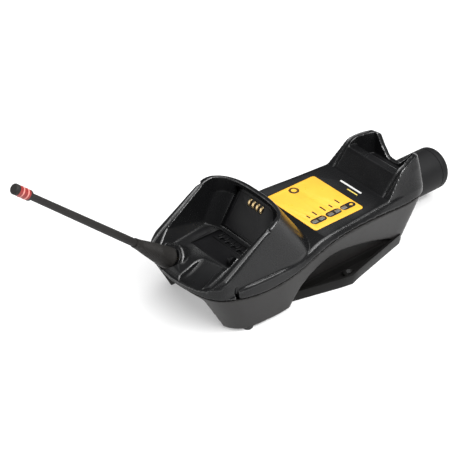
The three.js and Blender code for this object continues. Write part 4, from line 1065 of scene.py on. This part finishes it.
def small_pieces():
    refined("mounting_bracket", "bracket_tray", bracket_plastic, 0.5, 3)
    refined("cup_floor_insert", "cup_floor_plate", insert_plastic, 0.22, 2)
    refined("cup_clip", "cup_catch", insert_plastic, 0.3, 3)
    refined("host_socket", "host_socket_shell", insert_plastic, 0.2, 2)
    refined("power_socket", "power_socket_shell", insert_plastic, 0.2, 2)
    refined("battery_sleeve", "battery_tube", lower_plastic, 0.2, 2)
    for side in ("left", "right"):
        refined(f"front_foot_{side}", f"foot_pad_{side}", foot_rubber, 0.6, 3)
    for kind, count in (("housing_screw", 4), ("bracket_screw", 2)):
        for i in range(1, count + 1):
            refined(f"{kind}_{i}", f"{kind}_head_{i}", steel, 0.15, 2)


def inner_pieces():
    """Sealed-in CAD nodes keep their shape and take a material."""
    looks = {
        "main_board": board_green, "radio_module": tinned, "button_switch": insert_plastic,
        "light_guide": clear_plastic, "buzzer": insert_plastic, "antenna_coax": insert_plastic,
        "antenna_jack": gold, "contact_carrier": white_plastic, "battery_slot_contacts": gold,
        "spare_battery_terminals": gold,
    }
    looks.update({f"status_led_{i}": white_plastic for i in range(1, len(WINDOW_XS) + 1)})
    for node, material in looks.items():
        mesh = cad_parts[node].data
        mesh.materials.clear()
        mesh.materials.append(material)


# ---------- floor, light and camera ----------


def floor():
    reach = 6.0
    corners = [(-reach, -reach, 0), (reach, -reach, 0), (reach, reach, 0), (-reach, reach, 0)]
    obj = make("studio_floor", corners, [(0, 1, 2, 3)])
    n = Nodes("floor_paper")
    base = n.mix(n.spread(n.noise(6, 3), 0.3, 0.7, 0, 1), (0.6, 0.6, 0.6), (0.62, 0.62, 0.62))
    n.link(base, n.shader.inputs["Base Color"])
    n.shader.inputs["Roughness"].default_value = 0.9
    n.shader.inputs["Emission Color"].default_value = (1, 1, 1, 1)
    n.shader.inputs["Emission Strength"].default_value = 0.38
    obj.data.materials.append(n.material)
    obj.location = (0, 0, -0.0004)


def area_light(name, location, target, width, height, watts):
    data = bpy.data.lights.new(name, "AREA")
    data.shape = "RECTANGLE"
    data.size, data.size_y = width, height
    data.energy = watts
    obj = bpy.data.objects.new(name, data)
    bpy.context.scene.collection.objects.link(obj)
    obj.location = location
    obj.rotation_euler = (Vector(target) - Vector(location)).to_track_quat("-Z", "Y").to_euler()


def lighting():
    world = bpy.data.worlds.new("studio")
    world.use_nodes = True
    background = world.node_tree.nodes["Background"]
    background.inputs["Color"].default_value = (0.97, 0.985, 1, 1)
    background.inputs["Strength"].default_value = 0.12
    bpy.context.scene.world = world
    centre = (0.01, 0, 0.04)
    area_light("overhead", (0.1, -0.3, 1.7), (0.1, -0.299, 0), 2.4, 2.0, 46)
    area_light("card_left", (-1.05, 0.9, 0.42), centre, 1.0, 0.5, 3)
    area_light("strip_right", (0.12, -0.75, 0.98), centre, 1.7, 0.14, 15)
    area_light("strip_far", (0.85, -1.05, 0.5), centre, 0.16, 0.9, 0.5)


def camera():
    data = bpy.data.cameras.new("camera")
    data.sensor_width = 36
    data.lens = CAMERA["lens"]
    obj = bpy.data.objects.new("camera", data)
    bpy.context.scene.collection.objects.link(obj)
    obj.location = CAMERA["at"]
    obj.rotation_mode = "QUATERNION"
    obj.rotation_quaternion = Vector(CAMERA["towards"]).to_track_quat("-Z", "Y")
    data.clip_start, data.clip_end = 0.01, 50
    bpy.context.scene.camera = obj


camera()
top_shell()
lower_shell()
contact_panel()
for number, offset in enumerate(contact_ys, 1):
    contact_spring(number, offset)
label_pieces()
deck_marks()
button_pieces()
window_pieces()
antenna_pieces()
battery_pieces()
small_pieces()
inner_pieces()
floor()
lighting()
bpy.context.scene.view_settings.view_transform = "Standard"
